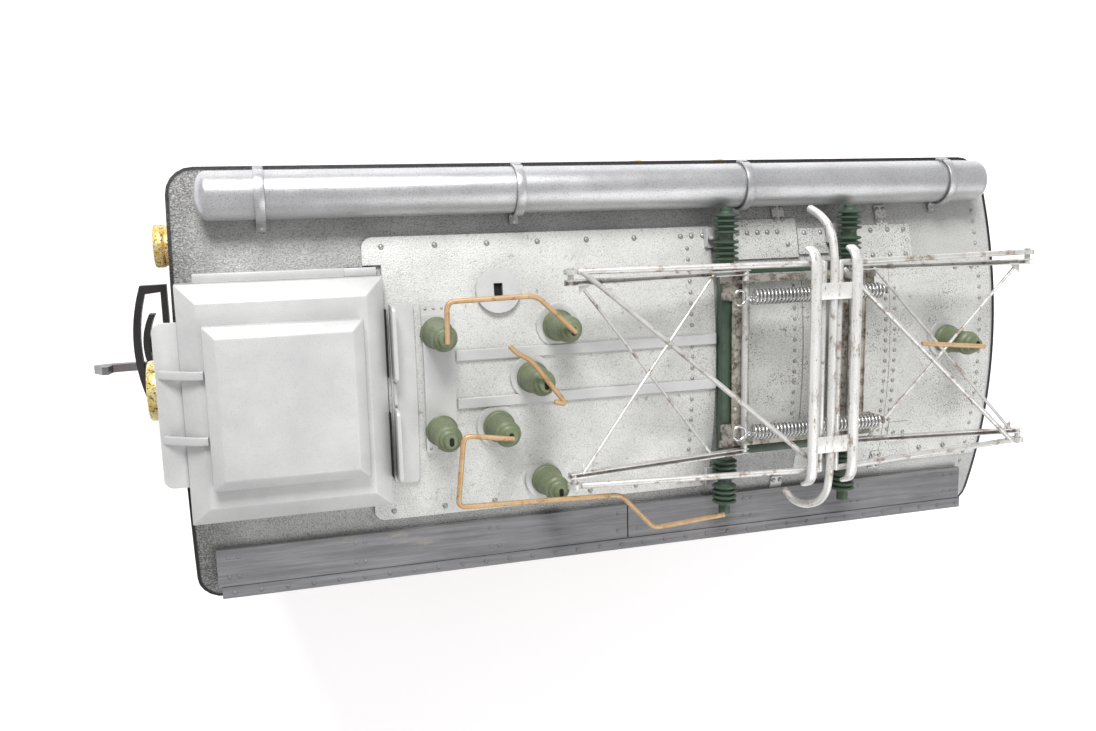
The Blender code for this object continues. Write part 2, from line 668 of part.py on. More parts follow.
def upper_arm(end, name):
    """Two tubes from the knees to the apex, a cross tube at the apex and one diagonal."""
    knee_x = PANTO_X + end * KNEE_REACH
    apex_x = PANTO_X + end * APEX_SPREAD
    rise = APEX_Z - KNEE_Z
    angle = atan2(rise, apex_x - knee_x)

    def along(t, y, lift=0.0):
        return (knee_x + (apex_x - knee_x) * t, y, KNEE_Z + rise * t + lift)

    parts = [cylinder(0.9, -UPPER_HALF_WIDTH - 0.5, UPPER_HALF_WIDTH + 0.5, (apex_x, APEX_Z), "Y", 12)]
    for side in (-1, 1):
        y = side * UPPER_HALF_WIDTH
        start = 1.6 / UPPER_ARM
        parts.append(wire([along(start, y), along(1.0, y)], 0.85, 2))
        eye = cylinder(1.9, y - 0.7, y + 0.7, (knee_x, KNEE_Z), "Y", 14)
        parts.append(cut(eye, cylinder(1.12, y - 2, y + 2, (knee_x, KNEE_Z), "Y", 14)))
    diagonal = [along(0.05, end * -UPPER_HALF_WIDTH, 0.5), along(0.12, end * -(UPPER_HALF_WIDTH - 4.6), 1.2),
                along(0.98, end * (UPPER_HALF_WIDTH - 1.8), 0.0)]
    parts.append(wire(diagonal, 0.75, 2))
    return piece(name, joined(parts[0], *parts[1:]), "panto_steel", (knee_x, 0, KNEE_Z))


STRIP_SPREAD = 6.3
HEAD_RISE = 3.4


def pan_head():
    """Two contact strips with bent ends, two cross plates and the middle horn rod."""
    parts = []
    top = APEX_Z + HEAD_RISE
    for end in (-1, 1):
        x = PANTO_X + end * STRIP_SPREAD
        upper = [(-33.9, top - 4.6), (-32.6, top - 1.9), (-30.6, top - 0.4), (-27.5, top), (27.5, top),
                 (30.6, top - 0.4), (32.6, top - 1.9), (33.9, top - 4.6)]
        lower = [(y * 0.97, z - 1.2) for y, z in reversed(upper)]
        parts.append(prism(upper + lower, x - 1.5, x + 1.5, "YZ"))
    for side in (-1, 1):
        y = side * 21.4
        parts.append(box((PANTO_X - STRIP_SPREAD, PANTO_X + STRIP_SPREAD), (y - 2.3, y + 2.3), (top - 1.9, top - 0.7)))
        apex_x = PANTO_X - APEX_SPREAD
        eye = [(apex_x + 2.0 * cos(radians(a)), APEX_Z + 2.0 * sin(radians(a))) for a in range(180, 361, 20)]
        eye = prism(eye + [(apex_x + 2.0, top - 0.9), (apex_x - 2.0, top - 0.9)], y - 0.5, y + 0.5, "XZ")
        parts.append(cut(eye, cylinder(1.2, -40, 40, (apex_x, APEX_Z), "Y", 14)))
    rod = [(-5.0, -38.8, -16.0), (-3.8, -41.2, -12.4), (-2.3, -41.4, -8.4), (-0.8, -39.2, -3.6),
           (0.0, -35.4, -1.0), (0.0, -30.0, 0.0), (0.0, 30.0, 0.0), (0.0, 35.4, -1.0), (0.0, 39.2, -3.6),
           (0.0, 41.8, -8.0), (0.0, 43.4, -13.0)]
    rod = [(PANTO_X + x, y, top - 2.2 + z) for x, y, z in rod]
    parts.append(wire(rod, 1.15, 2))
    return piece("pan_head", joined(parts[0], *parts[1:]), "panto_steel", (PANTO_X, 0, APEX_Z))


def springs():
    """The outer shape of the two tension springs between the base frame's posts."""
    z = level(SPRING_LEVEL)
    front, rear = station(BAR_STATIONS[0]), station(BAR_STATIONS[1])
    for side, name in ((1, "spring_left"), (-1, "spring_right")):
        y = side * SPRING_Y
        coil = cylinder(2.3, front + 5.2, rear + 5.6, (y, z), "X", 14)
        eye = box((front - 1.4, front + 5.6), (y - 0.35, y + 0.35), (z - 1.9, z + 1.9))
        hook = box((rear + 5.0, rear + 6.2), (y - 0.35, y + 0.35), (z - 1.5, z + 1.5))
        piece(name, joined(coil, eye, hook), "spring_steel", (PANTO_X, y, z))


# ---------------------------------------------------------------- cab

WINDOW_LOW, WINDOW_HIGH = -58.0, -27.0
SIDE_WINDOWS = ((14, 36), (44, 66), (104, 126), (196, 218))
DOOR = (148.5, 171.5)
END_WINDOWS = ((-45, -21), (-11, 11), (21, 45))


def cab_box(inset, low, high):
    x = (station(CAB_INSET + inset), station(ROOF_LENGTH - CAB_INSET - inset))
    y = (-CAB_HALF_WIDTH + inset, CAB_HALF_WIDTH - inset)
    return prism(rounded_outline(x, y, 2.0 if inset == 0 else 0.6, 3), level(low), level(high))


def above_roof_underside():
    """The cutter that fits the cab's upper edge under the roof."""
    reach = ROOF_HALF_WIDTH + 4
    steps = 24
    across = [reach * (1 - 2 * i / steps) for i in range(steps + 1)]
    outline = [(y, level(arch(y) - ROOF_THICKNESS - GAP)) for y in across]
    outline += [(-reach, level(20)), (reach, level(20))]
    return prism(outline, station(-20), station(ROOF_LENGTH + 20), "YZ")


def cab_openings(grow=0.0):
    cutters = []
    reach = CAB_HALF_WIDTH + 5
    for low, high in SIDE_WINDOWS + ((DOOR[0] + 3.5, DOOR[1] - 3.5),):
        outline = rounded_outline((station(low) - grow, station(high) + grow),
                                  (level(WINDOW_LOW) - grow, level(WINDOW_HIGH) + grow), 2.0, 2)
        cutters.append(prism(outline, -reach, reach, "XZ"))
    for low, high in END_WINDOWS:
        outline = rounded_outline((low - grow, high + grow),
                                  (level(WINDOW_LOW + 2) - grow, level(WINDOW_HIGH + (-15 if low < 0 < high else -4))), 2.0, 2)
        cutters.append(prism(outline, station(-5), station(ROOF_LENGTH + 5), "YZ"))
    return cutters


def cab():
    shell = cut(cab_box(0, CAB_FLOOR, 8), cab_box(WALL, CAB_FLOOR - 5, 12))
    shell = cut(shell, above_roof_underside())
    shell = cut(shell, *cab_openings())
    trims = []
    for side in (-1, 1):
        face = side * (CAB_HALF_WIDTH + 0.6)
        inner = side * (CAB_HALF_WIDTH - 1)
        trims.append(box((station(8), station(ROOF_LENGTH - 8)), (inner, face), (level(-63.5), level(-61.8))))
        trims.append(box((station(8), station(ROOF_LENGTH - 8)), (inner, face), (level(-98.6), level(-96.8))))
    shell = joined(shell, *trims)
    piece("cab_shell", shell, "cab_paint")
    liner = cut(cab_box(WALL + GAP, WINDOW_LOW - 4, WINDOW_HIGH + 4), cab_box(WALL + GAP + 1.0, -80, 0))
    piece("window_liner", cut(liner, above_roof_underside()), "window_clear")


def cab_lamps():
    """Three lamps on each end: one under the roof and two over the corners of the beam."""
    spots = {"top": (-1.7, -25.5, 8.3, 13.2), "left": (35.0, -99.6, 7.3, 15.6), "right": (-35.0, -99.6, 7.3, 15.6)}
    for end, name in ((-1, "front"), (1, "rear")):
        wall = end * (ROOF_LENGTH / 2 - CAB_INSET + GAP)
        for spot, (y, z, radius, length) in spots.items():
            profile = [(0, length - 1.6), (radius - 1.6, length - 1.6), (radius - 1.2, length), (radius - 0.3, length),
                       (radius, length - 0.6), (radius, length - 3.2), (radius - 0.5, length - 3.6),
                       (radius - 0.5, 1.6), (radius - 1.4, 0.0), (0, 0)]
            if end < 0:
                profile = [(r, -h) for r, h in reversed(profile)]
            lamp = turned(profile, (wall, y * (1 if end < 0 else -1) if spot == "top" else y, level(z)), "X", 18)
            piece(f"lamp_{name}_{spot}", lamp, "lamp_brass")


def door_rails():
    """A grab rail each side that comes out of the wall, runs down past the door and under it."""
    for side, name in ((1, "door_rail_left"), (-1, "door_rail_right")):
        wall, out = side * (CAB_HALF_WIDTH + GAP), side * 59.0
        low, high = level(-104.0), level(-50.0)
        front, back = station(DOOR[0] - 3.4), station(DOOR[1] + 3.4)
        route = [(front, wall, high), (front, out, high), (front, out, low), (back, out, low),
                 (back, out, high), (back, wall, high)]
        piece(name, wire(bent(route, 2.0), 0.9), "lamp_brass")


# ---------------------------------------------------------------- running gear

FRAME_BOTTOM = -108.7
AXLES = {"front": -WHEELBASE / 2, "rear": WHEELBASE / 2}
WORM_LEVEL = AXLE_LEVEL + GEAR_RADIUS + 0.5 + 3.4


def underframe():
    plate = box((station(5), station(ROOF_LENGTH - 5)), (-51.5, 51.5), (level(FRAME_BOTTOM), level(CAB_FLOOR - GAP)))
    plate = cut(plate, box((-80.5, 80.5), (-31, 31), (level(-115), level(-100))))
    additions = []
    for side in (-1, 1):
        outline = [(-78, -107), (-78, -116), (-70, -122), (-64, -131), (-46, -131), (-40, -121), (-20, -117),
                   (20, -117), (40, -121), (46, -131), (64, -131), (70, -122), (78, -116), (78, -107)]
        outline = [(x, level(z)) for x, z in outline]
        additions.append(prism(outline, side * 33.2, side * 36.2, "XZ"))
        for axle in AXLES.values():
            additions.append(box((axle - 5.5, axle + 5.5), (side * 36, side * 41), (level(-128.5), level(-116.5))))
            additions.append(cylinder(3.6, side * 40.5, side * 42.6, (axle, level(AXLE_LEVEL)), "Y", 16))
            for i in range(3):
                half = 15 - 3.6 * i
                additions.append(box((axle - half, axle + half), (side * 35.9, side * 39.4),
                                     (level(-115.2 + 1.7 * i), level(-113.7 + 1.7 * i))))
    for end in (-1, 1):
        x = end * 99.0
        additions.append(cylinder(2.2, level(-116.4), level(-107.5), (x, 0), sides=14))
        additions.append(cylinder(4.4, level(-117.4), level(-115.9), (x, 0), sides=16))
    return piece("underframe", joined(plate, *additions), "frame_black")


def buffer_beam(end, name):
    """The end beam with a slot for the coupler, corner steps and two sockets."""
    def span(a, b):
        return tuple(sorted((end * (ROOF_LENGTH / 2 - a), end * (ROOF_LENGTH / 2 - b))))
    beam = box(span(-0.6, 4.6), (-47, 47), (level(-119.5), level(-108.0)))
    beam = cut(beam, box(span(-3, 8), (-13, 13), (level(-125), level(-109.2))))
    additions = []
    for side in (-1, 1):
        additions.append(box(span(0.2, 1.4), (side * 36.5, side * 46.5), (level(-131), level(-118))))
        additions.append(box(span(-5.6, 1.4), (side * 36.5, side * 46.5), (level(-131), level(-129.6))))
        socket = cylinder(2.0, *span(-8.8, 1), (side * 31.3, level(-112.5)), "X", 14)
        additions.append(socket)
    return piece(f"buffer_beam_{name}", joined(beam, *additions), "frame_black")


COUPLER_PIVOT = 99.0
HOOK_PIVOT = 6.5              # hook's pin beyond the end of the roof
HOOK_Y = -8.0
HOOK_DROP = 4.4


def coupler(end, name):
    """A swivelling draw arm with its curved bumper and the closed loop round it."""
    z = COUPLER_LEVEL
    reach = ROOF_LENGTH / 2

    def out(distance):
        return end * (reach + distance)

    arm = box((end * (COUPLER_PIVOT + 2), out(19.0)), (-2.6, 2.6), (level(z - 2.2), level(z + 2.2)))
    eye = cylinder(5.4, level(z - 2.2), level(z + 2.2), (end * COUPLER_PIVOT, 0), sides=18)
    ring = arc((0, 0), 21.0, -60, 60, 16)
    loop_out = [(12.0, -21.3), (17.4, -20.6)] + [(1.4 + 21.3 * cos(radians(a)), 22.0 * sin(radians(a)))
                                              for a in range(-60, 61, 12)] + [(17.4, 20.6), (12.0, 21.3)]
    outer = [(10.2, -21.2)] + [(22.6 - 3.6 * (y / 21.2) ** 2, y) for y in range(-21, 22, 3)] + [(10.2, 21.2)]
    inner = [(12.3, -18.6)] + [(20.2 - 3.6 * (y / 21.2) ** 2, y) for y in range(-18, 19, 3)] + [(12.3, 18.6)]
    loop = prism([(out(x), y) for x, y in outer], level(z - 1.8), level(z + 1.8))
    loop = cut(loop, prism([(out(x), y) for x, y in inner], level(z - 5), level(z + 5)))
    bow = [(19.3 - 0.022 * y * y, y) for y in range(-11, 12, 2)]
    bow += [(17.2 - 0.022 * y * y, y) for y in range(11, -12, -2)]
    bumper = prism([(out(x), y) for x, y in bow], level(z - 2.6), level(z + 2.6))
    near, far = HOOK_PIVOT - 2.8, HOOK_PIVOT + 2.8
    bracket = box((out(near), out(far)), (HOOK_Y - 2.9, -1.5), (level(z - 1.9), level(z + 1.0)))
    cheeks = [box((out(near), out(far)), (HOOK_Y + y - 0.4, HOOK_Y + y + 0.4), (level(z - 6.4), level(z)))
              for y in (-2.5, 2.5)]
    body = joined(arm, eye, bumper, loop, bracket, *cheeks)
    pin_at = (out(HOOK_PIVOT), level(z - HOOK_DROP))
    body = cut(body, cylinder(1.42, HOOK_Y - 4, HOOK_Y + 4, pin_at, "Y", 14))
    body = cut(body, cylinder(2.6, level(z - 6), level(z + 6), (end * COUPLER_PIVOT, 0), sides=18))
    return piece(f"coupler_{name}", body, "frame_black", (end * COUPLER_PIVOT, 0, level(z)))


def coupler_hook(end, name):
    """The sprung hook under the coupler's loop."""
    z = COUPLER_LEVEL - HOOK_DROP

    def out(distance):
        return end * (ROOF_LENGTH / 2 + distance)

    outline = [(HOOK_PIVOT - 1.6, -1.5), (HOOK_PIVOT - 1.6, 1.5), (24.6, 1.5), (30.4, 2.6), (31.4, 7.4), (33.4, 7.4), (36.6, 2.6),
               (36.6, 0.6), (31.0, -1.5)]
    arm = prism([(out(x), level(z + v)) for x, v in outline], HOOK_Y - 1.4, HOOK_Y + 1.4, "XZ")
    pin = cylinder(1.3, HOOK_Y - 2.6, HOOK_Y + 2.6, (out(HOOK_PIVOT), level(z)), "Y", 14)
    return piece(f"hook_{name}", joined(arm, pin), "hook_steel", (out(HOOK_PIVOT), HOOK_Y, level(z)))


def wheelset(name, x):
    """An axle with both flanged wheels and the worm wheel in the middle, as one pressed set."""
    inner, outer = BACK_TO_BACK / 2, BACK_TO_BACK / 2 + WHEEL_WIDTH
    parts = [cylinder(AXLE_RADIUS, -31.6, 31.6, (x, level(AXLE_LEVEL)), "Y", 20)]
    profile = [(0, outer + 0.6), (3.6, outer + 0.6), (3.9, outer - 0.4), (12.4, outer - 1.2), (13.4, outer),
               (TREAD_RADIUS - 0.5, outer), (TREAD_RADIUS, inner + 1.9), (FLANGE_RADIUS - 0.6, inner + 1.3),
               (FLANGE_RADIUS, inner + 0.7), (FLANGE_RADIUS - 0.6, inner), (0, inner)]
    for side in (-1, 1):
        shape = profile if side > 0 else [(r, -y) for r, y in reversed(profile)]
        parts.append(turned(shape, (x, 0, level(AXLE_LEVEL)), "Y", 36))
    teeth = 20
    outline = []
    for i in range(teeth):
        for share, radius in ((0.0, GEAR_RADIUS - 1.3), (0.3, GEAR_RADIUS), (0.55, GEAR_RADIUS), (0.85, GEAR_RADIUS - 1.3)):
            a = tau * (i + share + 0.07) / teeth
            outline.append((x + radius * cos(a), level(AXLE_LEVEL) + radius * sin(a)))
    parts.append(prism(outline, -2.5, 2.5, "XZ"))
    return piece(f"wheelset_{name}", joined(parts[0], *parts[1:]), "wheel_steel", (x, 0, level(AXLE_LEVEL)))


def motor_group():
    half, low, high = 71.0, -130.6, -97.0
    block = box((-half, half), (-17, 17), (level(low), level(high)))
    block = cut(block, box((-half + 2.4, half - 2.4), (-14.6, 14.6), (level(low - 3), level(high - 2.4))))
    ears = [box((end * 69, end * 86), (-10, 10), (level(CAB_FLOOR), level(CAB_FLOOR + 2))) for end in (-1, 1)]
    rings = [box((x - 1, x + 1), (-15.5, 15.5), (level(-122.6), level(-98))) for x in (-14, 14)]
    rings = [cut(ring, cylinder(9.3, -30, 30, (0, level(WORM_LEVEL)), "X", 24)) for ring in rings]
    block = joined(block, *ears, *rings)
    bores = [cylinder(AXLE_RADIUS + 0.35, -20, 20, (x, level(AXLE_LEVEL)), "Y", 18) for x in AXLES.values()]
    bores.append(cylinder(1.5, -80, 80, (0, level(WORM_LEVEL)), "X", 14))
    piece("motor_block", cut(block, *bores), "frame_black")
    can = cylinder(9.0, -21, 21, (0, level(WORM_LEVEL)), "X", 24)
    can = cut(can, cylinder(1.6, -25, 25, (0, level(WORM_LEVEL)), "X", 14))
    piece("motor_can", can, "motor_steel")
    profile = [(0, 70.4), (1.2, 70.4), (1.2, 63), (3.4, 62.2), (3.4, 47.8), (1.2, 47), (1.2, -47), (3.4, -47.8),
               (3.4, -62.2), (1.2, -63), (1.2, -70.4), (0, -70.4)]
    worm = turned(profile, (0, 0, level(WORM_LEVEL)), "X", 14)
    piece("worm_shaft", worm, "motor_steel", (0, 0, level(WORM_LEVEL)))


def build():
    roof_shell()
    roof_plate()
    hatch()
    visor()
    baffle_tray()
    air_tank()
    for index, x in enumerate((22.9, 89.8, 157.0, 224.4), 1):
        tank_strap(index, x)
    walkway()
    insulator_strip()
    disc_cover()
    insulators()
    copper_wires()
    insulator_frame()
    insulator_saddles()
    base_frame()
    lower_arm(-1, "lower_arm_front")
    lower_arm(1, "lower_arm_rear")
    upper_arm(-1, "upper_arm_front")
    upper_arm(1, "upper_arm_rear")
    pan_head()
    springs()
    cab()
    cab_lamps()
    door_rails()
    underframe()
    motor_group()
    for name, x in AXLES.items():
        wheelset(name, x)
    for end, name in ((-1, "front"), (1, "rear")):
        buffer_beam(end, name)
        coupler(end, name)
        coupler_hook(end, name)


build()
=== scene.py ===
"""Looks of a large-scale model box-cab electric locomotive with a folding pantograph.

Lengths are in millimetres inside the builders and become metres when a mesh is made. X runs
along the locomotive with the front at -X, Y across it with the air tank at +Y, and Z is up.
A station is a distance from the front end of the roof; a level is a height over its crown.
"""

import logging
from dataclasses import dataclass, field
from enum import Enum
from math import acos, cos, pi, radians, sin, sqrt, tau
from typing import Iterable, Optional, Sequence

import bmesh
import bpy
from mathutils import Matrix, Vector


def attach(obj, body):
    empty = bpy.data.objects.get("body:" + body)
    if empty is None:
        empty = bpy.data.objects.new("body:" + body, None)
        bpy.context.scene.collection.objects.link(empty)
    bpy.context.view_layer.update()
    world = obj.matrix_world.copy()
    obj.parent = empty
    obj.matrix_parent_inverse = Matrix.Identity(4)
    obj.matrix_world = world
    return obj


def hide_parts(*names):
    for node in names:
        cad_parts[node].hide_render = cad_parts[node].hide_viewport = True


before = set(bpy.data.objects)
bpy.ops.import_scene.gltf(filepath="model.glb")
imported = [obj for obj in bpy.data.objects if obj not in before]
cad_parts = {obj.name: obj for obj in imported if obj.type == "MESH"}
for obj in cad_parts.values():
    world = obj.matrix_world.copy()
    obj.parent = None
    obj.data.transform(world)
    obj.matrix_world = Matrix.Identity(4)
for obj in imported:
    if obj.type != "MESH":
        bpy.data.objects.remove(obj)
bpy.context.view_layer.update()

LOG = logging.getLogger("locomotive")
MM = 0.001
ROOF_LENGTH = 245.4
CROWN = 142.0
ROOF_HALF_WIDTH = 58.0
ARCH_DROP = 12.1
PLATE_TOP = 1.1
MAIN_BODY = "locomotive"
BEVEL_ANGLE = radians(28)
ROUND = 60.0
WHITE = (1.0, 1.0, 1.0, 1.0)
DOME_SEGMENTS = 12
DOME_RINGS = 8
TURN_STEPS = 22
WIRE_STEPS = 8
MADE: dict[str, bpy.types.Material] = {}

Point = Sequence[float]
Socket = bpy.types.NodeSocket
Vertex = bmesh.types.BMVert


def station(x: float) -> float:
    """X of a station in millimetres."""
    return x - ROOF_LENGTH / 2


def level(z: float) -> float:
    """Z of a level in millimetres."""
    return CROWN + z


def arch(y: float) -> float:
    """Level of the roof's outer surface at y."""
    return -ARCH_DROP * (y / ROOF_HALF_WIDTH) ** 2


def arch_normal(y: float) -> tuple[float, float, float]:
    """Outward direction of the roof's surface at y.

    Args:
        y: the place across the roof.

    Returns:
        The direction, one unit long.
    """
    slope = 2 * ARCH_DROP * y / ROOF_HALF_WIDTH ** 2
    size = sqrt(1 + slope * slope)
    return (0.0, slope / size, 1 / size)


def point(x: float, y: float, z: float) -> tuple[float, float, float]:
    """The point in millimetres at a station, Y and level."""
    return (station(x), y, level(z))


def stations(low: float, high: float) -> tuple[float, float]:
    """Two stations as X values."""
    return (station(low), station(high))


def levels(low: float, high: float) -> tuple[float, float]:
    """Two levels as Z values."""
    return (level(low), level(high))


def around(middle: float, half: float) -> tuple[float, float]:
    """The two values at a distance from a middle."""
    return (middle - half, middle + half)


def flat_section(half_width: float, half_height: float, radius: float, steps: int) -> list[Point]:
    """A rounded strip section about its centre, to sweep along a path."""
    return rounded_outline((-half_width, half_width), (-half_height, half_height), radius, steps)


def pin_profile(radius: float, half: float, ease: float, drop: float) -> list[Point]:
    """The profile of a pin about its middle with eased ends."""
    outer = [(0, half), (radius - drop, half), (radius, half - ease)]
    return [(r, -y) for r, y in outer] + outer[::-1]


class Axis(Enum):
    """The direction that a turned or drawn shape runs along."""

    X = Matrix.Rotation(pi / 2, 4, "Y")
    Y = Matrix.Rotation(-pi / 2, 4, "X")
    Z = Matrix.Identity(4)


# ---------------------------------------------------------------- finishes

class Graph:
    """A node tree with short ways to add and join its nodes."""

    tree: bpy.types.NodeTree

    def add(self, kind: str, **settings: object) -> bpy.types.Node:
        """Adds a node and sets its properties, or its inputs where no property has that name.

        Args:
            kind: the node's type name.
            settings: property or input values by name.

        Returns:
            The new node.
        """
        node = self.tree.nodes.new(kind)
        for key, value in settings.items():
            if hasattr(node, key):
                setattr(node, key, value)
            else:
                node.inputs[key.replace("_", " ").title()].default_value = value
        return node

    def join(self, start: Socket, end: Socket) -> None:
        """Joins an output to an input."""
        self.tree.links.new(start, end)


class NodeBoard(Graph):
    """The shader nodes of one material."""

    def __init__(self, name: str) -> None:
        """Starts an empty material.

        Args:
            name: the material's name.
        """
        self.material = bpy.data.materials.new(name)
        self.material.use_nodes = True
        self.tree = self.material.node_tree
        self.shader = self.tree.nodes["Principled BSDF"]
        self.place = self.add("ShaderNodeTexCoord").outputs["Object"]

    def fix(self, **values: object) -> None:
        """Sets the shader's inputs by name."""
        for key, value in values.items():
            self.shader.inputs[key.replace("_", " ").title()].default_value = value

    def stretched(self, scale: Point) -> Socket:
        """Object coordinates in metres times a scale for each axis.

        Args:
            scale: one factor for each axis.

        Returns:
            The scaled coordinates.
        """
        mapping = self.add("ShaderNodeMapping", scale=scale)
        self.join(self.place, mapping.inputs["Vector"])
        return mapping.outputs["Vector"]

    def noise(
            self, size: float, detail: float = 3.0, rough: float = 0.55, stretch: Point = (1, 1, 1)
    ) -> Socket:
        """A noise value whose features are about `size` millimetres across.

        Args:
            size: width of a feature in millimetres.
            detail: how many finer layers it has.
            rough: how strong those layers are.
            stretch: one factor for each axis.

        Returns:
            The noise, from 0 to 1.
        """
        made = self.add(
            "ShaderNodeTexNoise", detail=detail, roughness=rough, scale=1.0 / (size * MM))
        self.join(self.stretched(stretch), made.inputs["Vector"])
        return made.outputs["Fac"]

    def span(
            self, value: Socket, low: float, high: float, out_low: float = 0.0,
            out_high: float = 1.0) -> Socket:
        """Maps a value's range to another range, held at its ends.

        Args:
            value: the value to map.
            low: its low end.
            high: its high end.
            out_low: what the low end becomes.
            out_high: what the high end becomes.

        Returns:
            The mapped value.
        """
        made = self.add(
            "ShaderNodeMapRange", from_min=low, from_max=high, to_min=out_low, to_max=out_high)
        self.join(value, made.inputs["Value"])
        return made.outputs["Result"]

    def times(self, one: Socket, other: Socket) -> Socket:
        """The product of two values.

        Args:
            one: a value.
            other: the other value.

        Returns:
            Their product.
        """
        made = self.add("ShaderNodeMath", operation="MULTIPLY")
        self.join(one, made.inputs[0])
        self.join(other, made.inputs[1])
        return made.outputs[0]

    def mixed(self, share: Socket, under: object, over: object) -> Socket:
        """A colour mixed from two by a share; each is a colour or a socket.

        Args:
            share: how much of the second colour shows.
            under: the first colour.
            over: the second colour.

        Returns:
            The mixed colour.
        """
        made = self.add("ShaderNodeMix", data_type="RGBA")
        self.join(share, made.inputs["Factor"])
        for socket, value in ((made.inputs[6], under), (made.inputs[7], over)):
            if isinstance(value, Socket):
                self.join(value, socket)
            else:
                socket.default_value = (*value, 1.0)
        return made.outputs[2]

    def bump(
            self, height: Socket, depth: float, strength: float = 1.0,
            under: Optional[Socket] = None) -> Socket:
        """A normal from a height; depth is in millimetres.

        Args:
            height: the height, from 0 to 1.
            depth: what a height of 1 is in millimetres.
            strength: how strongly it shows.
            under: a normal that it is laid over.

        Returns:
            The normal.
        """
        made = self.add("ShaderNodeBump", strength=strength, distance=depth * MM)
        self.join(height, made.inputs["Height"])
        if under is not None:
            self.join(under, made.inputs["Normal"])
        return made.outputs["Normal"]


Colour = tuple[float, float, float]


@dataclass(frozen=True)
class Finish:
    """A painted, moulded or metal surface with mottling, grime, a fine grain and uneven gloss."""

    name: str
    colour: Colour
    tint: Colour
    grime: Colour = (0.06, 0.05, 0.04)
    mottle_size: float = 14.0
    mottle_share: float = 1.0
    speck_size: float = 0.5
    speck_share: float = 0.25
    grime_size: float = 5.0
    grime_level: float = 0.68
    grime_share: float = 0.6
    grain_size: float = 0.35
    grain_depth: float = 0.02
    stretch: tuple[float, float, float] = (1.0, 1.0, 1.0)
    rough: tuple[float, float] = (0.35, 0.55)
    metallic: float = 0.0
    coat: float = 0.0

    def colours(self, board: NodeBoard) -> Socket:
        """The base colour: mottled, specked and with patches of grime.

        Args:
            board: the material it is added to.

        Returns:
            The colour.
        """
        mottle = board.span(
            board.noise(self.mottle_size, stretch=self.stretch), 0.3, 0.7, 0.0, self.mottle_share)
        mixed = board.mixed(mottle, self.colour, self.tint)
        specks = board.span(board.noise(self.speck_size, 2.0), 0.55, 0.68, 0.0, self.speck_share)
        dark = tuple(c * 0.35 for c in self.colour)
        mixed = board.mixed(specks, mixed, dark)
        patch = board.noise(self.grime_size, 5.0, 0.7, self.stretch)
        patch = board.span(patch, self.grime_level, self.grime_level + 0.07)
        patch = board.times(
            patch,
            board.span(board.noise(self.grime_size * 0.3, 2.0), 0.35, 0.6, 0.2, self.grime_share))
        return board.mixed(patch, mixed, self.grime)

    def relief(self, board: NodeBoard) -> Socket:
        """The normal: a fine grain."""
        return board.bump(
            board.noise(self.grain_size, 2.0, stretch=self.stretch), self.grain_depth)

    def make(self) -> bpy.types.Material:
        """The finish as a material, made once.

        Returns:
            The material.
        """
        if self.name in MADE:
            return MADE[self.name]
        board = NodeBoard(self.name)
        MADE[self.name] = board.material
        board.join(self.colours(board), board.shader.inputs["Base Color"])
        gloss = board.span(board.noise(self.mottle_size * 0.35, 4.0), 0.3, 0.7, *self.rough)
        board.join(gloss, board.shader.inputs["Roughness"])
        board.join(self.relief(board), board.shader.inputs["Normal"])
        board.fix(metallic=self.metallic, coat_weight=self.coat)
        return board.material


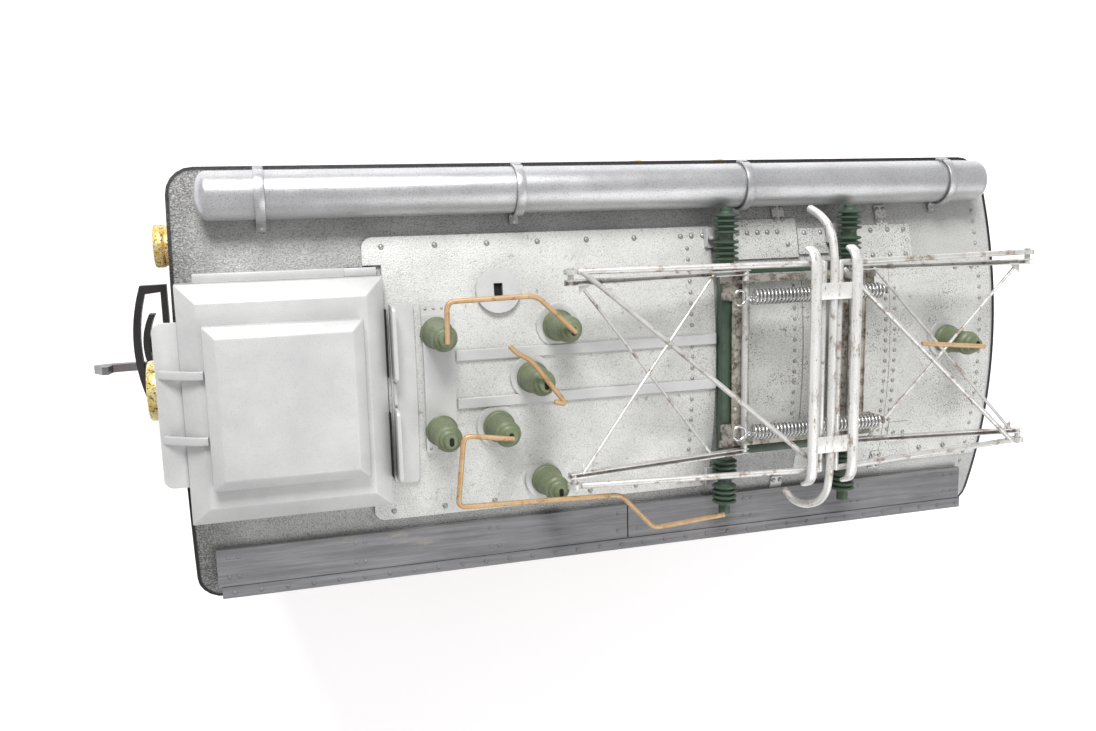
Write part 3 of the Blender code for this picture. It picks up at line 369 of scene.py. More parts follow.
@dataclass(frozen=True)
class PebbledFinish(Finish):
    """Thin paint over a pebbled moulding, dark in its hollows, with worn paint and painted shade
    along its rim and painted light on its rear end.
    """

    pebble_size: float = 0.45
    pebble_depth: float = 0.09
    hollow_share: float = 0.42
    soot: float = 0.75
    rim: tuple[float, float, float] = (0.0, 0.0, 0.0)

    def pebbles(self, board: NodeBoard) -> Socket:
        """The moulding's height."""
        return board.span(board.noise(self.pebble_size, 1.6, 0.5), 0.36, 0.64)

    def relief(self, board: NodeBoard) -> Socket:
        """The normal: shallow pebbles under a fine grain."""
        pebbles = board.bump(self.pebbles(board), self.pebble_depth, 0.9)
        return board.bump(board.noise(self.grain_size, 2.0), self.grain_depth, 1.0, pebbles)

    def to_rim(self, board: NodeBoard, radius: float) -> Socket:
        """How far a point is out from an outline set in from the rim by a radius, in metres.

        Args:
            board: the material it is added to.
            radius: how far the outline is set in, in millimetres.

        Returns:
            The distance.
        """
        half_length, half_width, _ = self.rim
        value = board.place
        for operation, other in (
                ("ABSOLUTE", (0, 0, 0)),
                ("SUBTRACT", (half_length - radius, half_width - radius, 0)),
                ("MAXIMUM", (0, 0, 0)), ("MULTIPLY", (1, 1, 0)), ("LENGTH", (0, 0, 0))):
            made = board.add("ShaderNodeVectorMath", operation=operation)
            made.inputs[1].default_value = [
                v * MM if operation == "SUBTRACT" else v for v in other]
            board.join(value, made.inputs[0])
            value = made.outputs["Value"] if operation == "LENGTH" else made.outputs[0]
        return value

    def colours(self, board: NodeBoard) -> Socket:
        """The base colour with dark hollows, painted light towards the rear end, thin worn paint
        and painted shade near the rim, and a black rim.

        Args:
            board: the material it is added to.

        Returns:
            The colour.
        """
        dark = tuple(c * 0.3 for c in self.colour)
        hollow = board.span(self.pebbles(board), 0.0, 0.42, self.hollow_share, 0.0)
        mixed = board.mixed(hollow, super().colours(board), dark)
        split = board.add("ShaderNodeSeparateXYZ")
        board.join(board.place, split.inputs[0])
        near = board.times(
            board.span(split.outputs["X"], -0.005, 0.035), board.span(board.noise(12.0), 0.35, 0.6)
        )
        dots = board.times(
            near, board.span(board.noise(0.42, 2.0, 0.6), 0.57, 0.62, 0.0, self.soot))
        mixed = board.mixed(dots, mixed, (0.05, 0.043, 0.035))
        if self.rim[2] <= 0:
            return mixed
        # Painted light: the rear end of the roof is mixed towards a pale grey, as if more light
        # fell there.
        pale = board.span(split.outputs["X"], 0.07, 0.1, 0.0, 0.5)
        mixed = board.mixed(pale, mixed, (0.68, 0.68, 0.66))
        out = self.to_rim(board, self.rim[2])
        # worn is worn paint and painted shade together: it darkens the roof near its rim, most at
        # the front and fading towards the rear, where shade falls.
        worn = board.times(
            board.span(self.to_rim(board, 17.0), 3.0 * MM, 16.0 * MM, 0.0, 0.9),
            board.span(board.noise(0.5, 4.0, 0.75), 0.38, 0.58))
        worn = board.times(worn, board.span(split.outputs["X"], 0.02, 0.08, 1.0, 0.15))
        mixed = board.mixed(worn, mixed, (0.05, 0.048, 0.045))
        edge = board.span(out, (self.rim[2] - 1.2) * MM, (self.rim[2] - 0.8) * MM)
        return board.mixed(edge, mixed, (0.012, 0.012, 0.012))


@dataclass(frozen=True)
class PlankFinish(Finish):
    """A moulded wood grain that runs along X, with long pores in its relief and streaks in its
    colour.
    """

    def relief(self, board: NodeBoard) -> Socket:
        """The normal: long pores."""
        pores = board.noise(1.1, 3.0, 0.6, (0.06, 1.0, 1.0))
        return board.bump(board.span(pores, 0.35, 0.62), 0.12, 0.9)

    def colours(self, board: NodeBoard) -> Socket:
        """The base colour: streaks along the grain with pale dust.

        Args:
            board: the material it is added to.

        Returns:
            The colour.
        """
        streak = board.span(board.noise(1.4, 4.0, 0.65, (0.05, 1.0, 1.0)), 0.35, 0.65)
        mixed = board.mixed(streak, self.colour, self.tint)
        dust = board.span(
            board.noise(self.grime_size, 6.0, 0.75, (0.3, 1, 1)), self.grime_level,
            self.grime_level + 0.1, 0.0, self.grime_share)
        return board.mixed(dust, mixed, self.grime)


@dataclass(frozen=True)
class HammeredFinish(Finish):
    """Gold paint with a hammered surface and scattered dark green and orange spots."""

    def relief(self, board: NodeBoard) -> Socket:
        """The normal: hammered dents."""
        return board.bump(board.noise(1.1, 1.0), 0.25, 0.8)

    def colours(self, board: NodeBoard) -> Socket:
        """The base colour: gold with orange and green-black spots.

        Args:
            board: the material it is added to.

        Returns:
            The colour.
        """
        mixed = board.mixed(board.span(board.noise(2.2, 2.0), 0.4, 0.62), self.colour, self.tint)
        spots = board.span(board.noise(0.7, 2.0, 0.6), 0.56, 0.6, 0.0, 0.9)
        return board.mixed(spots, mixed, self.grime)


@dataclass(frozen=True)
class ClearFinish:
    """Clear glazing or a lens."""

    name: str
    colour: Colour
    rough: float = 0.05
    clear: float = 0.9
    bending: float = 1.3

    def make(self) -> bpy.types.Material:
        """The clear material, made once.

        Returns:
            The material.
        """
        if self.name in MADE:
            return MADE[self.name]
        board = NodeBoard(self.name)
        MADE[self.name] = board.material
        smear = board.span(board.noise(9.0, 4.0), 0.35, 0.7, self.rough, self.rough + 0.12)
        board.join(smear, board.shader.inputs["Roughness"])
        board.fix(base_color=(*self.colour, 1.0), transmission_weight=self.clear)
        board.shader.inputs["IOR"].default_value = self.bending
        return board.material


RUST = (0.2, 0.085, 0.035)
ROOF_SILVER = PebbledFinish(
    "roof_silver", (0.36, 0.36, 0.35), (0.47, 0.47, 0.46), speck_size=0.4, speck_share=0.6,
    grime_level=0.64, grime_share=0.6, metallic=0.2, rough=(0.4, 0.6), rim=(122.7, 58.0, 7.0))
RIVET_SILVER = Finish(
    "rivet_silver", (0.3, 0.29, 0.27), (0.46, 0.45, 0.43), grime=(0.12, 0.07, 0.04), metallic=0.6)
PLATE_SILVER = PebbledFinish(
    "plate_silver", (0.6, 0.6, 0.58), (0.7, 0.7, 0.68), grime=(0.13, 0.1, 0.08), speck_size=0.36,
    speck_share=0.5, grime_size=3.0, grime_level=0.62, grime_share=0.6, pebble_size=0.4,
    pebble_depth=0.04, hollow_share=0.2, metallic=0.2, rough=(0.36, 0.58))
HATCH_SILVER = Finish(
    "hatch_silver", (0.53, 0.53, 0.53), (0.63, 0.63, 0.62), grime=(0.2, 0.17, 0.14),
    speck_size=0.35, speck_share=0.16, grime_level=0.72, grime_share=0.45, grain_size=0.4,
    grain_depth=0.025, metallic=0.2, rough=(0.38, 0.55))
TANK_SILVER = Finish(
    "tank_silver", (0.48, 0.48, 0.49), (0.58, 0.58, 0.59), speck_size=0.3, speck_share=0.6,
    grime_level=0.74, grime_share=0.5, grain_size=0.3, grain_depth=0.04, metallic=0.6,
    rough=(0.3, 0.4))
PLANK_GREY = PlankFinish(
    "walkway_grey", (0.14, 0.14, 0.145), (0.22, 0.22, 0.23), grime=(0.38, 0.34, 0.27),
    grime_size=7.0, grime_level=0.6, grime_share=0.5, rough=(0.35, 0.6))
SAGE_GREEN = Finish(
    "insulator_green", (0.135, 0.165, 0.09), (0.19, 0.225, 0.13), grime=(0.05, 0.055, 0.03),
    mottle_size=3.0, grime_size=3.0, grime_level=0.6, grime_share=0.5, grain_depth=0.03,
    rough=(0.35, 0.55))
FRAME_GREEN = Finish(
    "frame_green", (0.04, 0.07, 0.046), (0.07, 0.105, 0.07), grime=(0.16, 0.13, 0.09),
    mottle_size=4.0, grime_size=3.0, grime_level=0.6, grime_share=0.5, rough=(0.3, 0.5))
WIRE_TAN = Finish(
    "copper_wire", (0.5, 0.31, 0.15), (0.6, 0.41, 0.23), grime=(0.2, 0.1, 0.05), mottle_size=4.0,
    speck_share=0.2, grime_size=3.0, grime_level=0.56, grime_share=0.7, metallic=0.3,
    rough=(0.35, 0.55))
PANTO_STEEL = Finish(
    "panto_steel", (0.6, 0.59, 0.57), (0.74, 0.73, 0.71), grime=(0.2, 0.11, 0.05), mottle_size=7.0,
    grime_size=4.5, grime_level=0.53, grime_share=0.75, metallic=0.5, rough=(0.28, 0.5))
BASE_TIN = Finish(
    "base_tin", (0.34, 0.31, 0.26), (0.55, 0.53, 0.49), grime=(0.1, 0.07, 0.045), mottle_size=4.0,
    grime_size=2.4, grime_level=0.48, grime_share=0.85, metallic=0.35, rough=(0.35, 0.6))
HEAD_SILVER = Finish(
    "head_silver", (0.68, 0.67, 0.65), (0.78, 0.77, 0.75), grime=(0.2, 0.12, 0.065),
    mottle_size=4.0, grime_size=3.2, grime_level=0.55, grime_share=0.8, stretch=(1.6, 0.4, 1.0),
    metallic=0.35, rough=(0.25, 0.48))
SPRING_STEEL = Finish(
    "spring_steel", (0.62, 0.62, 0.61), (0.7, 0.7, 0.69), grime=RUST, grime_level=0.75,
    metallic=0.95, rough=(0.2, 0.35), grain_depth=0.01)
CAB_RED = Finish(
    "cab_paint", (0.24, 0.022, 0.02), (0.29, 0.03, 0.026), grime=(0.06, 0.02, 0.02),
    mottle_size=30.0, mottle_share=0.6, grime_level=0.76, speck_share=0.1, rough=(0.28, 0.42),
    coat=0.15)
CAB_TRIM = Finish(
    "cab_trim", (0.035, 0.032, 0.03), (0.05, 0.046, 0.043), grime_level=0.74, rough=(0.4, 0.6))
FRAME_BLACK = Finish(
    "frame_black", (0.014, 0.014, 0.015), (0.026, 0.025, 0.025), grime=(0.09, 0.07, 0.055),
    grime_level=0.66, grime_share=0.4, speck_share=0.1, rough=(0.35, 0.55))
GAP_BLACK = Finish(
    "gap_black", (0.004, 0.004, 0.004), (0.008, 0.008, 0.008), rough=(0.7, 0.9), grime_share=0.1)
LAMP_GOLD = HammeredFinish(
    "lamp_brass", (0.82, 0.7, 0.34), (0.7, 0.5, 0.13), grime=(0.05, 0.06, 0.025), metallic=0.35,
    rough=(0.28, 0.45))
RAIL_BRASS = Finish(
    "rail_brass", (0.68, 0.44, 0.14), (0.76, 0.53, 0.2), grime=(0.2, 0.11, 0.04), metallic=0.9,
    rough=(0.25, 0.4))
HOOK_STEEL = Finish(
    "hook_steel", (0.2, 0.2, 0.2), (0.3, 0.3, 0.3), grime=RUST, metallic=0.8, rough=(0.35, 0.5))
WHEEL_STEEL = Finish(
    "wheel_steel", (0.24, 0.24, 0.245), (0.34, 0.34, 0.34), grime=(0.05, 0.04, 0.035),
    grime_level=0.6, metallic=0.9, rough=(0.25, 0.45))
MOTOR_STEEL = Finish(
    "motor_steel", (0.4, 0.4, 0.41), (0.5, 0.5, 0.5), metallic=0.9, rough=(0.3, 0.45))
GLAZING = ClearFinish("window_clear", (0.82, 0.88, 0.9))
LENS = ClearFinish("lamp_lens", (0.9, 0.89, 0.84), 0.1, 0.45)
AnyFinish = Finish | ClearFinish


# ---------------------------------------------------------------- shapes

def rounded_outline(
        x: Point, y: Point, radius: object, steps: int = 6) -> list[tuple[float, float]]:
    """A rectangle with round corners.

    Args:
        x: its low and high first coordinate.
        y: its low and high second coordinate.
        radius: one corner radius, or four from the low-low corner round.
        steps: points round each corner.

    Returns:
        The outline's points, anticlockwise.
    """
    radii = list(radius) if isinstance(radius, (list, tuple)) else [float(radius)] * 4
    corners = [(x[0], y[0], pi), (x[1], y[0], 1.5 * pi), (x[1], y[1], 0.0), (x[0], y[1], 0.5 * pi)]
    inward = [(1, 1), (-1, 1), (-1, -1), (1, -1)]
    outline = []
    for (cx, cy, angle), (sx, sy), r in zip(corners, inward, radii):
        if r <= 0:
            outline.append((cx, cy))
            continue
        for i in range(steps + 1):
            a = angle + pi / 2 * i / steps
            outline.append((cx + sx * r + r * cos(a), cy + sy * r + r * sin(a)))
    return outline


def bent(points: Iterable[Point], radius: float, steps: int = 6) -> list[Vector]:
    """A path of straight runs with each corner rounded.

    Args:
        points: the path's corners.
        radius: how far from a corner its bend starts.
        steps: points round each bend.

    Returns:
        The smooth path.
    """
    route = [Vector(p) for p in points]
    path = [route[0]]
    for before, corner, after in zip(route, route[1:], route[2:]):
        back = min(radius, (before - corner).length / 2.2)
        ahead = min(radius, (after - corner).length / 2.2)
        start = corner + (before - corner).normalized() * back
        end = corner + (after - corner).normalized() * ahead
        for i in range(steps + 1):
            t = i / steps
            path.append(start * (1 - t) ** 2 + corner * 2 * t * (1 - t) + end * t * t)
    path.append(route[-1])
    return path


class Shape:
    """One mesh gathered from simple closed shapes, in millimetres."""

    def __init__(self) -> None:
        """Starts empty."""
        self.mesh = bmesh.new()

    def _faced(self, rings: list[list[Vertex]], closed: bool = True) -> None:
        """Fills between rings of equal length.

        Args:
            rings: rings of vertices in order.
            closed: whether each ring closes on itself.
        """
        for one, two in zip(rings, rings[1:]):
            count = len(one)
            for i in range(count if closed else count - 1):
                j = (i + 1) % count
                self.mesh.faces.new((one[i], one[j], two[j], two[i]))

    def turned(
            self, profile: Iterable[Point], at: Point, axis: Axis = Axis.Z, steps: int = 40
    ) -> "Shape":
        """Adds a turned solid.

        Args:
            profile: (radius, distance along the axis) points from one end to the other.
            at: where the profile's zero is.
            axis: the direction it runs along.
            steps: sides round the axis.

        Returns:
            The shape itself.
        """
        place = Matrix.Translation(Vector(at)) @ axis.value
        rings: list[list[Vertex]] = []
        caps: list[Vertex] = []
        for radius, along in profile:
            if radius <= 0:
                caps.append(self.mesh.verts.new(place @ Vector((0, 0, along))))
                rings.append([])
                continue
            rings.append(
                [
                    self.mesh.verts.new(
                        place @ Vector(
                            (radius * cos(tau * i / steps), radius * sin(tau * i / steps), along)))
                    for i in range(steps)])
        body = [r for r in rings if r]
        self._faced(body)
        if not rings[0]:
            self._fan(caps[0], body[0], True)
        if not rings[-1]:
            self._fan(caps[-1], body[-1], False)
        return self

    def _fan(self, tip: Vertex, ring: list[Vertex], first: bool) -> None:
        """Closes a ring with triangles to one point.

        Args:
            tip: the point.
            ring: the ring round it.
            first: whether it is the first end, which turns the faces over.
        """
        count = len(ring)
        for i in range(count):
            j = (i + 1) % count
            self.mesh.faces.new((tip, ring[j], ring[i]) if first else (tip, ring[i], ring[j]))

    def swept(
            self, path: Iterable[Point], section: Sequence[Point], up: Point = (0, 0, 1),
            loop: bool = False) -> "Shape":
        """Adds a section drawn along a path.

        Args:
            path: the path's points.
            section: (side, up) points round the section.
            up: the direction that the section's up keeps to.
            loop: whether the path closes on itself.

        Returns:
            The shape itself.
        """
        route = [Vector(p) for p in path]
        rings = []
        count = len(route)
        for i, here in enumerate(route):
            before = route[i - 1] if i or loop else here
            after = route[(i + 1) % count] if i + 1 < count or loop else here
            ahead = (after - before).normalized()
            side = ahead.cross(Vector(up))
            side = side.normalized() if side.length > 1e-4 else Vector((0, 1, 0))
            lift = side.cross(ahead).normalized()
            rings.append([self.mesh.verts.new(here + side * u + lift * v) for u, v in section])
        self._faced(rings + rings[:1] if loop else rings)
        if not loop:
            self.mesh.faces.new(list(reversed(rings[0])))
            self.mesh.faces.new(rings[-1])
        return self

    def tube(
            self, path: Iterable[Point], radius: float, sides: int = 16,
            up: Point = (0.12, 0.05, 1)) -> "Shape":
        """Adds a round wire along a path, with its ends slightly rounded.

        Args:
            path: the path's points.
            radius: the wire's radius.
            sides: sides round the wire.
            up: the direction that the section's up keeps to.

        Returns:
            The shape itself.
        """
        route = [Vector(p) for p in path]
        ring = [
            (radius * cos(tau * i / sides), radius * sin(tau * i / sides)) for i in range(sides)]
        start, end = (route[0] - route[1]).normalized(), (route[-1] - route[-2]).normalized()
        self.swept(route, ring, up)
        for tip, out in ((route[0], start), (route[-1], end)):
            turn = Vector((0, 0, 1)).rotation_difference(out).to_matrix().to_4x4()
            cap = [
                (0, radius * 0.35), (radius * 0.7, radius * 0.22), (radius * 0.995, -radius * 0.1)]
            self._placed_turned(cap, Matrix.Translation(tip) @ turn, sides)
        return self

    def _placed_turned(self, profile: Sequence[Point], place: Matrix, steps: int) -> None:
        """Adds a closed turned cap at a placement.

        Args:
            profile: (radius, height) points from the tip.
            place: where it goes.
            steps: sides round it.
        """
        tip = self.mesh.verts.new(place @ Vector((0, 0, profile[0][1])))
        rings = [
            [
                self.mesh.verts.new(
                    place @ Vector((r * cos(tau * i / steps), r * sin(tau * i / steps), h)))
                for i in range(steps)] for r,
            h in profile[1:]]
        self._faced(rings)
        self._fan(tip, rings[0], True)
        self.mesh.faces.new(rings[-1])

    def slab(
            self, outline: Sequence[Point], low: float, high: float, plane: str = "XY",
            bevel: float = 0.0, rounds: int = 2) -> "Shape":
        """Adds a flat outline drawn out between two values of the third axis.

        Args:
            outline: points in the plane.
            low: one end along the third axis.
            high: the other end.
            plane: the outline's two axes.
            bevel: width of the rounding along every edge.
            rounds: segments in that rounding.

        Returns:
            The shape itself.
        """
        def spot(u: float, v: float, w: float) -> tuple[float, float, float]:
            """A point in space from the plane's two values and the third."""
            return {"XY": (u, v, w), "XZ": (u, w, v), "YZ": (w, u, v)}[plane]

        part = bmesh.new()
        rings = [[part.verts.new(spot(u, v, w)) for u, v in outline] for w in (low, high)]
        count = len(outline)
        for i in range(count):
            j = (i + 1) % count
            part.faces.new((rings[0][i], rings[0][j], rings[1][j], rings[1][i]))
        part.faces.new(list(reversed(rings[0])))
        part.faces.new(rings[1])
        return self.added(part, bevel, rounds)

    def added(self, part: bmesh.types.BMesh, bevel: float, rounds: int) -> "Shape":
        """Joins a small mesh to this one after rounding its edges.

        Args:
            part: the small mesh, which is used up.
            bevel: width of the rounding.
            rounds: segments in that rounding.

        Returns:
            The shape itself.
        """
        bmesh.ops.recalc_face_normals(part, faces=part.faces)
        if bevel > 0:
            edges = [e for e in part.edges if e.calc_face_angle(0.0) > BEVEL_ANGLE]
            bmesh.ops.bevel(
                part, geom=edges, offset=bevel, segments=rounds, profile=0.5, affect="EDGES",
                clamp_overlap=True)
        held = bpy.data.meshes.new("held")
        part.to_mesh(held)
        part.free()
        self.mesh.from_mesh(held)
        bpy.data.meshes.remove(held)
        return self

    def block(self, x: Point, y: Point, z: Point, bevel: float = 0.0, rounds: int = 2) -> "Shape":
        """Adds a block between two values along each axis."""
        return self.slab(
            rounded_outline(sorted(x), sorted(y), 0), min(z), max(z), "XY", bevel, rounds)

    def arched_slab(
            self, x: Point, y: Point, low: float, high: float, corner: float = 0.6,
            bevel: float = 0.0, steps: int = 12) -> "Shape":
        """Adds a thin plate that follows the roof's arch, with its corners cut round.

        Args:
            x: its low and high station.
            y: its low and high Y.
            low: its underside over the roof.
            high: its top over the roof.
            corner: radius of its corners in plan.
            bevel: width of the rounding of its edges.
            steps: strips across it.

        Returns:
            The shape itself.
        """
        part = bmesh.new()
        turns = [corner * (1 - cos(pi / 2 * i / 4)) for i in range(5)] if corner > 0 else [0.0]
        reach = [y[0] + corner + (y[1] - y[0] - 2 * corner) * i / steps for i in range(1, steps)]
        reach = [y[0] + t for t in turns] + reach + [y[1] - t for t in reversed(turns)]
        steps = len(reach) - 1
        rows = {}
        for layer, lift in ((0, low), (1, high)):
            for k, v in enumerate(reach):
                edge = min(v - y[0], y[1] - v)
                pull = corner - sqrt(
                    max(corner ** 2 - (corner - edge) ** 2, 0)) if edge < corner else 0.0
                for end in (0, 1):
                    u = station(x[end]) + (pull if end == 0 else -pull)
                    rows[layer, k, end] = part.verts.new((u, v, level(arch(v) + lift)))
        for k in range(steps):
            for layer in (0, 1):
                part.faces.new(
                    [
                        rows[layer, k, 0], rows[layer, k, 1], rows[layer, k + 1, 1],
                        rows[layer, k + 1, 0]])
            for end in (0, 1):
                part.faces.new(
                    [rows[0, k, end], rows[1, k, end], rows[1, k + 1, end], rows[0, k + 1, end]])
        for k in (0, steps):
            part.faces.new([rows[0, k, 0], rows[0, k, 1], rows[1, k, 1], rows[1, k, 0]])
        return self.added(part, bevel, 1)

    def placed(
            self, name: str, finish: AnyFinish, body: str = MAIN_BODY, nodes: Sequence[str] = (),
            smooth: float = 32.0, slot: Optional[str] = None) -> bpy.types.Object:
        """Makes the shape a finished piece that rides on a body.

        Args:
            name: the piece's name.
            finish: its finish.
            body: the body it rides on.
            nodes: CAD nodes it stands for.
            smooth: the angle in degrees under which edges are smooth.
            slot: not used.

        Returns:
            The piece.
        """
        bmesh.ops.recalc_face_normals(self.mesh, faces=self.mesh.faces)
        bmesh.ops.scale(self.mesh, vec=(MM, MM, MM), verts=self.mesh.verts)
        data = bpy.data.meshes.new(name)
        self.mesh.to_mesh(data)
        self.mesh.free()
        data.materials.append(finish.make())
        data.shade_smooth()
        data.set_sharp_from_angle(angle=radians(smooth))
        piece = bpy.data.objects.new(name, data)
        bpy.context.scene.collection.objects.link(piece)
        return settle(piece, body, nodes)

    def skin(
            self, node: str, finish: AnyFinish, slot: str, body: str = MAIN_BODY,
            smooth: float = 32.0) -> None:
        """Makes the shape the piece that stands for one CAD node."""
        self.placed(node + "_skin", finish, body, (node,), smooth, slot)


def settle(
        piece: bpy.types.Object, body: str, nodes: Sequence[str] = ()
) -> bpy.types.Object:
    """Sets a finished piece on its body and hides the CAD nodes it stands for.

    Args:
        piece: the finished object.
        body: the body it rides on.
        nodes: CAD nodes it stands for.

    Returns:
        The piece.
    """
    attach(piece, body)
    if nodes:
        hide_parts(*nodes)
    LOG.info("made %s on %s", piece.name, body)
    return piece


def dress(finish: AnyFinish, *nodes: str) -> None:
    """Gives CAD nodes a finish in place of their plain one.

    Args:
        finish: the finish to give.
        nodes: the CAD nodes' names.
    """
    for node in nodes:
        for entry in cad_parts[node].material_slots:
            entry.material = finish.make()
        LOG.info("dressed %s in %s", node, finish.name)


# ---------------------------------------------------------------- repeated pieces

class TreeMaker(Graph):
    """Builds one geometry-nodes tree with named inputs."""

    def __init__(self, name: str, sizes: dict[str, float], finish: AnyFinish) -> None:
        """Starts a tree.

        Args:
            name: the tree's name.
            sizes: its size inputs and their values, in metres or counts.
            finish: the finish its result is set to.
        """
        self.tree = bpy.data.node_groups.new(name, "GeometryNodeTree")
        self.sizes = sizes
        self.finish = finish
        face = self.tree.interface
        face.new_socket("Geometry", in_out="INPUT", socket_type="NodeSocketGeometry")
        self.sockets = {
            key: face.new_socket(key, in_out="INPUT", socket_type="NodeSocketFloat")
            for key in sizes}
        self.sockets["Finish"] = face.new_socket(
            "Finish", in_out="INPUT", socket_type="NodeSocketMaterial")
        face.new_socket("Geometry", in_out="OUTPUT", socket_type="NodeSocketGeometry")
        self.start = self.tree.nodes.new("NodeGroupInput")
        self.end = self.tree.nodes.new("NodeGroupOutput")

    def close(self, geometry: Socket) -> None:
        """Ends the tree in Realize Instances, smooth shading and Set Material.

        Args:
            geometry: the output to end with.
        """
        real = self.add("GeometryNodeRealizeInstances")
        smooth = self.add("GeometryNodeSetShadeSmooth")
        coat = self.add("GeometryNodeSetMaterial")
        self.join(geometry, real.inputs[0])
        self.join(real.outputs[0], smooth.inputs[0])
        self.join(smooth.outputs[0], coat.inputs[0])
        self.join(self.start.outputs["Finish"], coat.inputs["Material"])
        self.join(coat.outputs[0], self.end.inputs[0])

    def run(
            self, name: str, mesh: bpy.types.Mesh, place: Matrix = Matrix.Identity(4)
    ) -> bpy.types.Object:
        """Runs the tree on a mesh and keeps the result as a plain mesh at the origin.

        Args:
            name: the piece's name.
            mesh: the mesh that the tree starts from.
            place: where the result goes.

        Returns:
            The piece, not yet on a body.
        """
        seed = bpy.data.objects.new(name + "_seed", mesh)
        bpy.context.scene.collection.objects.link(seed)
        modifier = seed.modifiers.new("Tree", "NODES")
        modifier.node_group = self.tree
        for key, value in self.sizes.items():
            modifier[self.sockets[key].identifier] = value
        modifier[self.sockets["Finish"].identifier] = self.finish.make()
        bpy.context.view_layer.update()
        data = bpy.data.meshes.new_from_object(
            seed.evaluated_get(bpy.context.evaluated_depsgraph_get()))
        data.transform(place)
        bpy.data.objects.remove(seed, do_unlink=True)
        piece = bpy.data.objects.new(name, data)
        bpy.context.scene.collection.objects.link(piece)
        return piece


@dataclass
class Studs:
    """Domed rivets or screws set on points, each with its own direction."""

    name: str
    finish: AnyFinish
    radius: float = 0.45
    height: float = 0.6
    spots: list[tuple[Vector, Vector]] = field(default_factory=list)

    def add(self, at: Point, out: Point = (0, 0, 1)) -> None:
        """Adds one stud at a point, facing out."""
        self.spots.append((Vector(at), Vector(out)))

    def on_roof(self, x: float, y: float, lift: float = 0.0) -> None:
        """Adds one stud on the roof at a station and Y, lifted over its surface."""
        self.add((station(x), y, level(arch(y) + lift)), arch_normal(y))

    def rows(self, rows: Iterable[tuple]) -> None:
        """Adds rows on the roof.

        Args:
            rows: for each row its stations, its Ys and its lift.
        """
        for along, across, lift in rows:
            for x in along:
                for y in across:
                    self.on_roof(x, y, lift)

    def build(self) -> bpy.types.Object:
        """Sets a dome on every point through a geometry-nodes tree.

        Returns:
            The piece that holds all the studs.
        """
        sizes = {"Stud Radius": self.radius * MM, "Stud Height": self.height}
        maker = TreeMaker(self.name + "_tree", sizes, self.finish)
        dome = maker.add("GeometryNodeMeshUVSphere", segments=DOME_SEGMENTS, rings=DOME_RINGS)
        maker.join(maker.start.outputs["Stud Radius"], dome.inputs["Radius"])
        flat = maker.add("GeometryNodeTransform")
        squash = maker.add("ShaderNodeCombineXYZ", x=1.0, y=1.0)
        maker.join(maker.start.outputs["Stud Height"], squash.inputs["Z"])
        maker.join(dome.outputs["Mesh"], flat.inputs["Geometry"])
        maker.join(squash.outputs[0], flat.inputs["Scale"])
        out = maker.add("GeometryNodeInputNamedAttribute", data_type="FLOAT_VECTOR")
        out.inputs["Name"].default_value = "out"
        turn = maker.add("FunctionNodeAlignRotationToVector", axis="Z")
        maker.join(out.outputs["Attribute"], turn.inputs["Vector"])
        spread = maker.add("GeometryNodeInstanceOnPoints")
        maker.join(maker.start.outputs["Geometry"], spread.inputs["Points"])
        maker.join(flat.outputs["Geometry"], spread.inputs["Instance"])
        maker.join(turn.outputs[0], spread.inputs["Rotation"])
        maker.close(spread.outputs["Instances"])
        mesh = bpy.data.meshes.new(self.name)
        mesh.from_pydata([at * MM for at, _ in self.spots], [], [])
        facing = mesh.attributes.new("out", "FLOAT_VECTOR", "POINT")
        facing.data.foreach_set("vector", [v for _, direction in self.spots for v in direction])
        return settle(maker.run(self.name, mesh), MAIN_BODY)


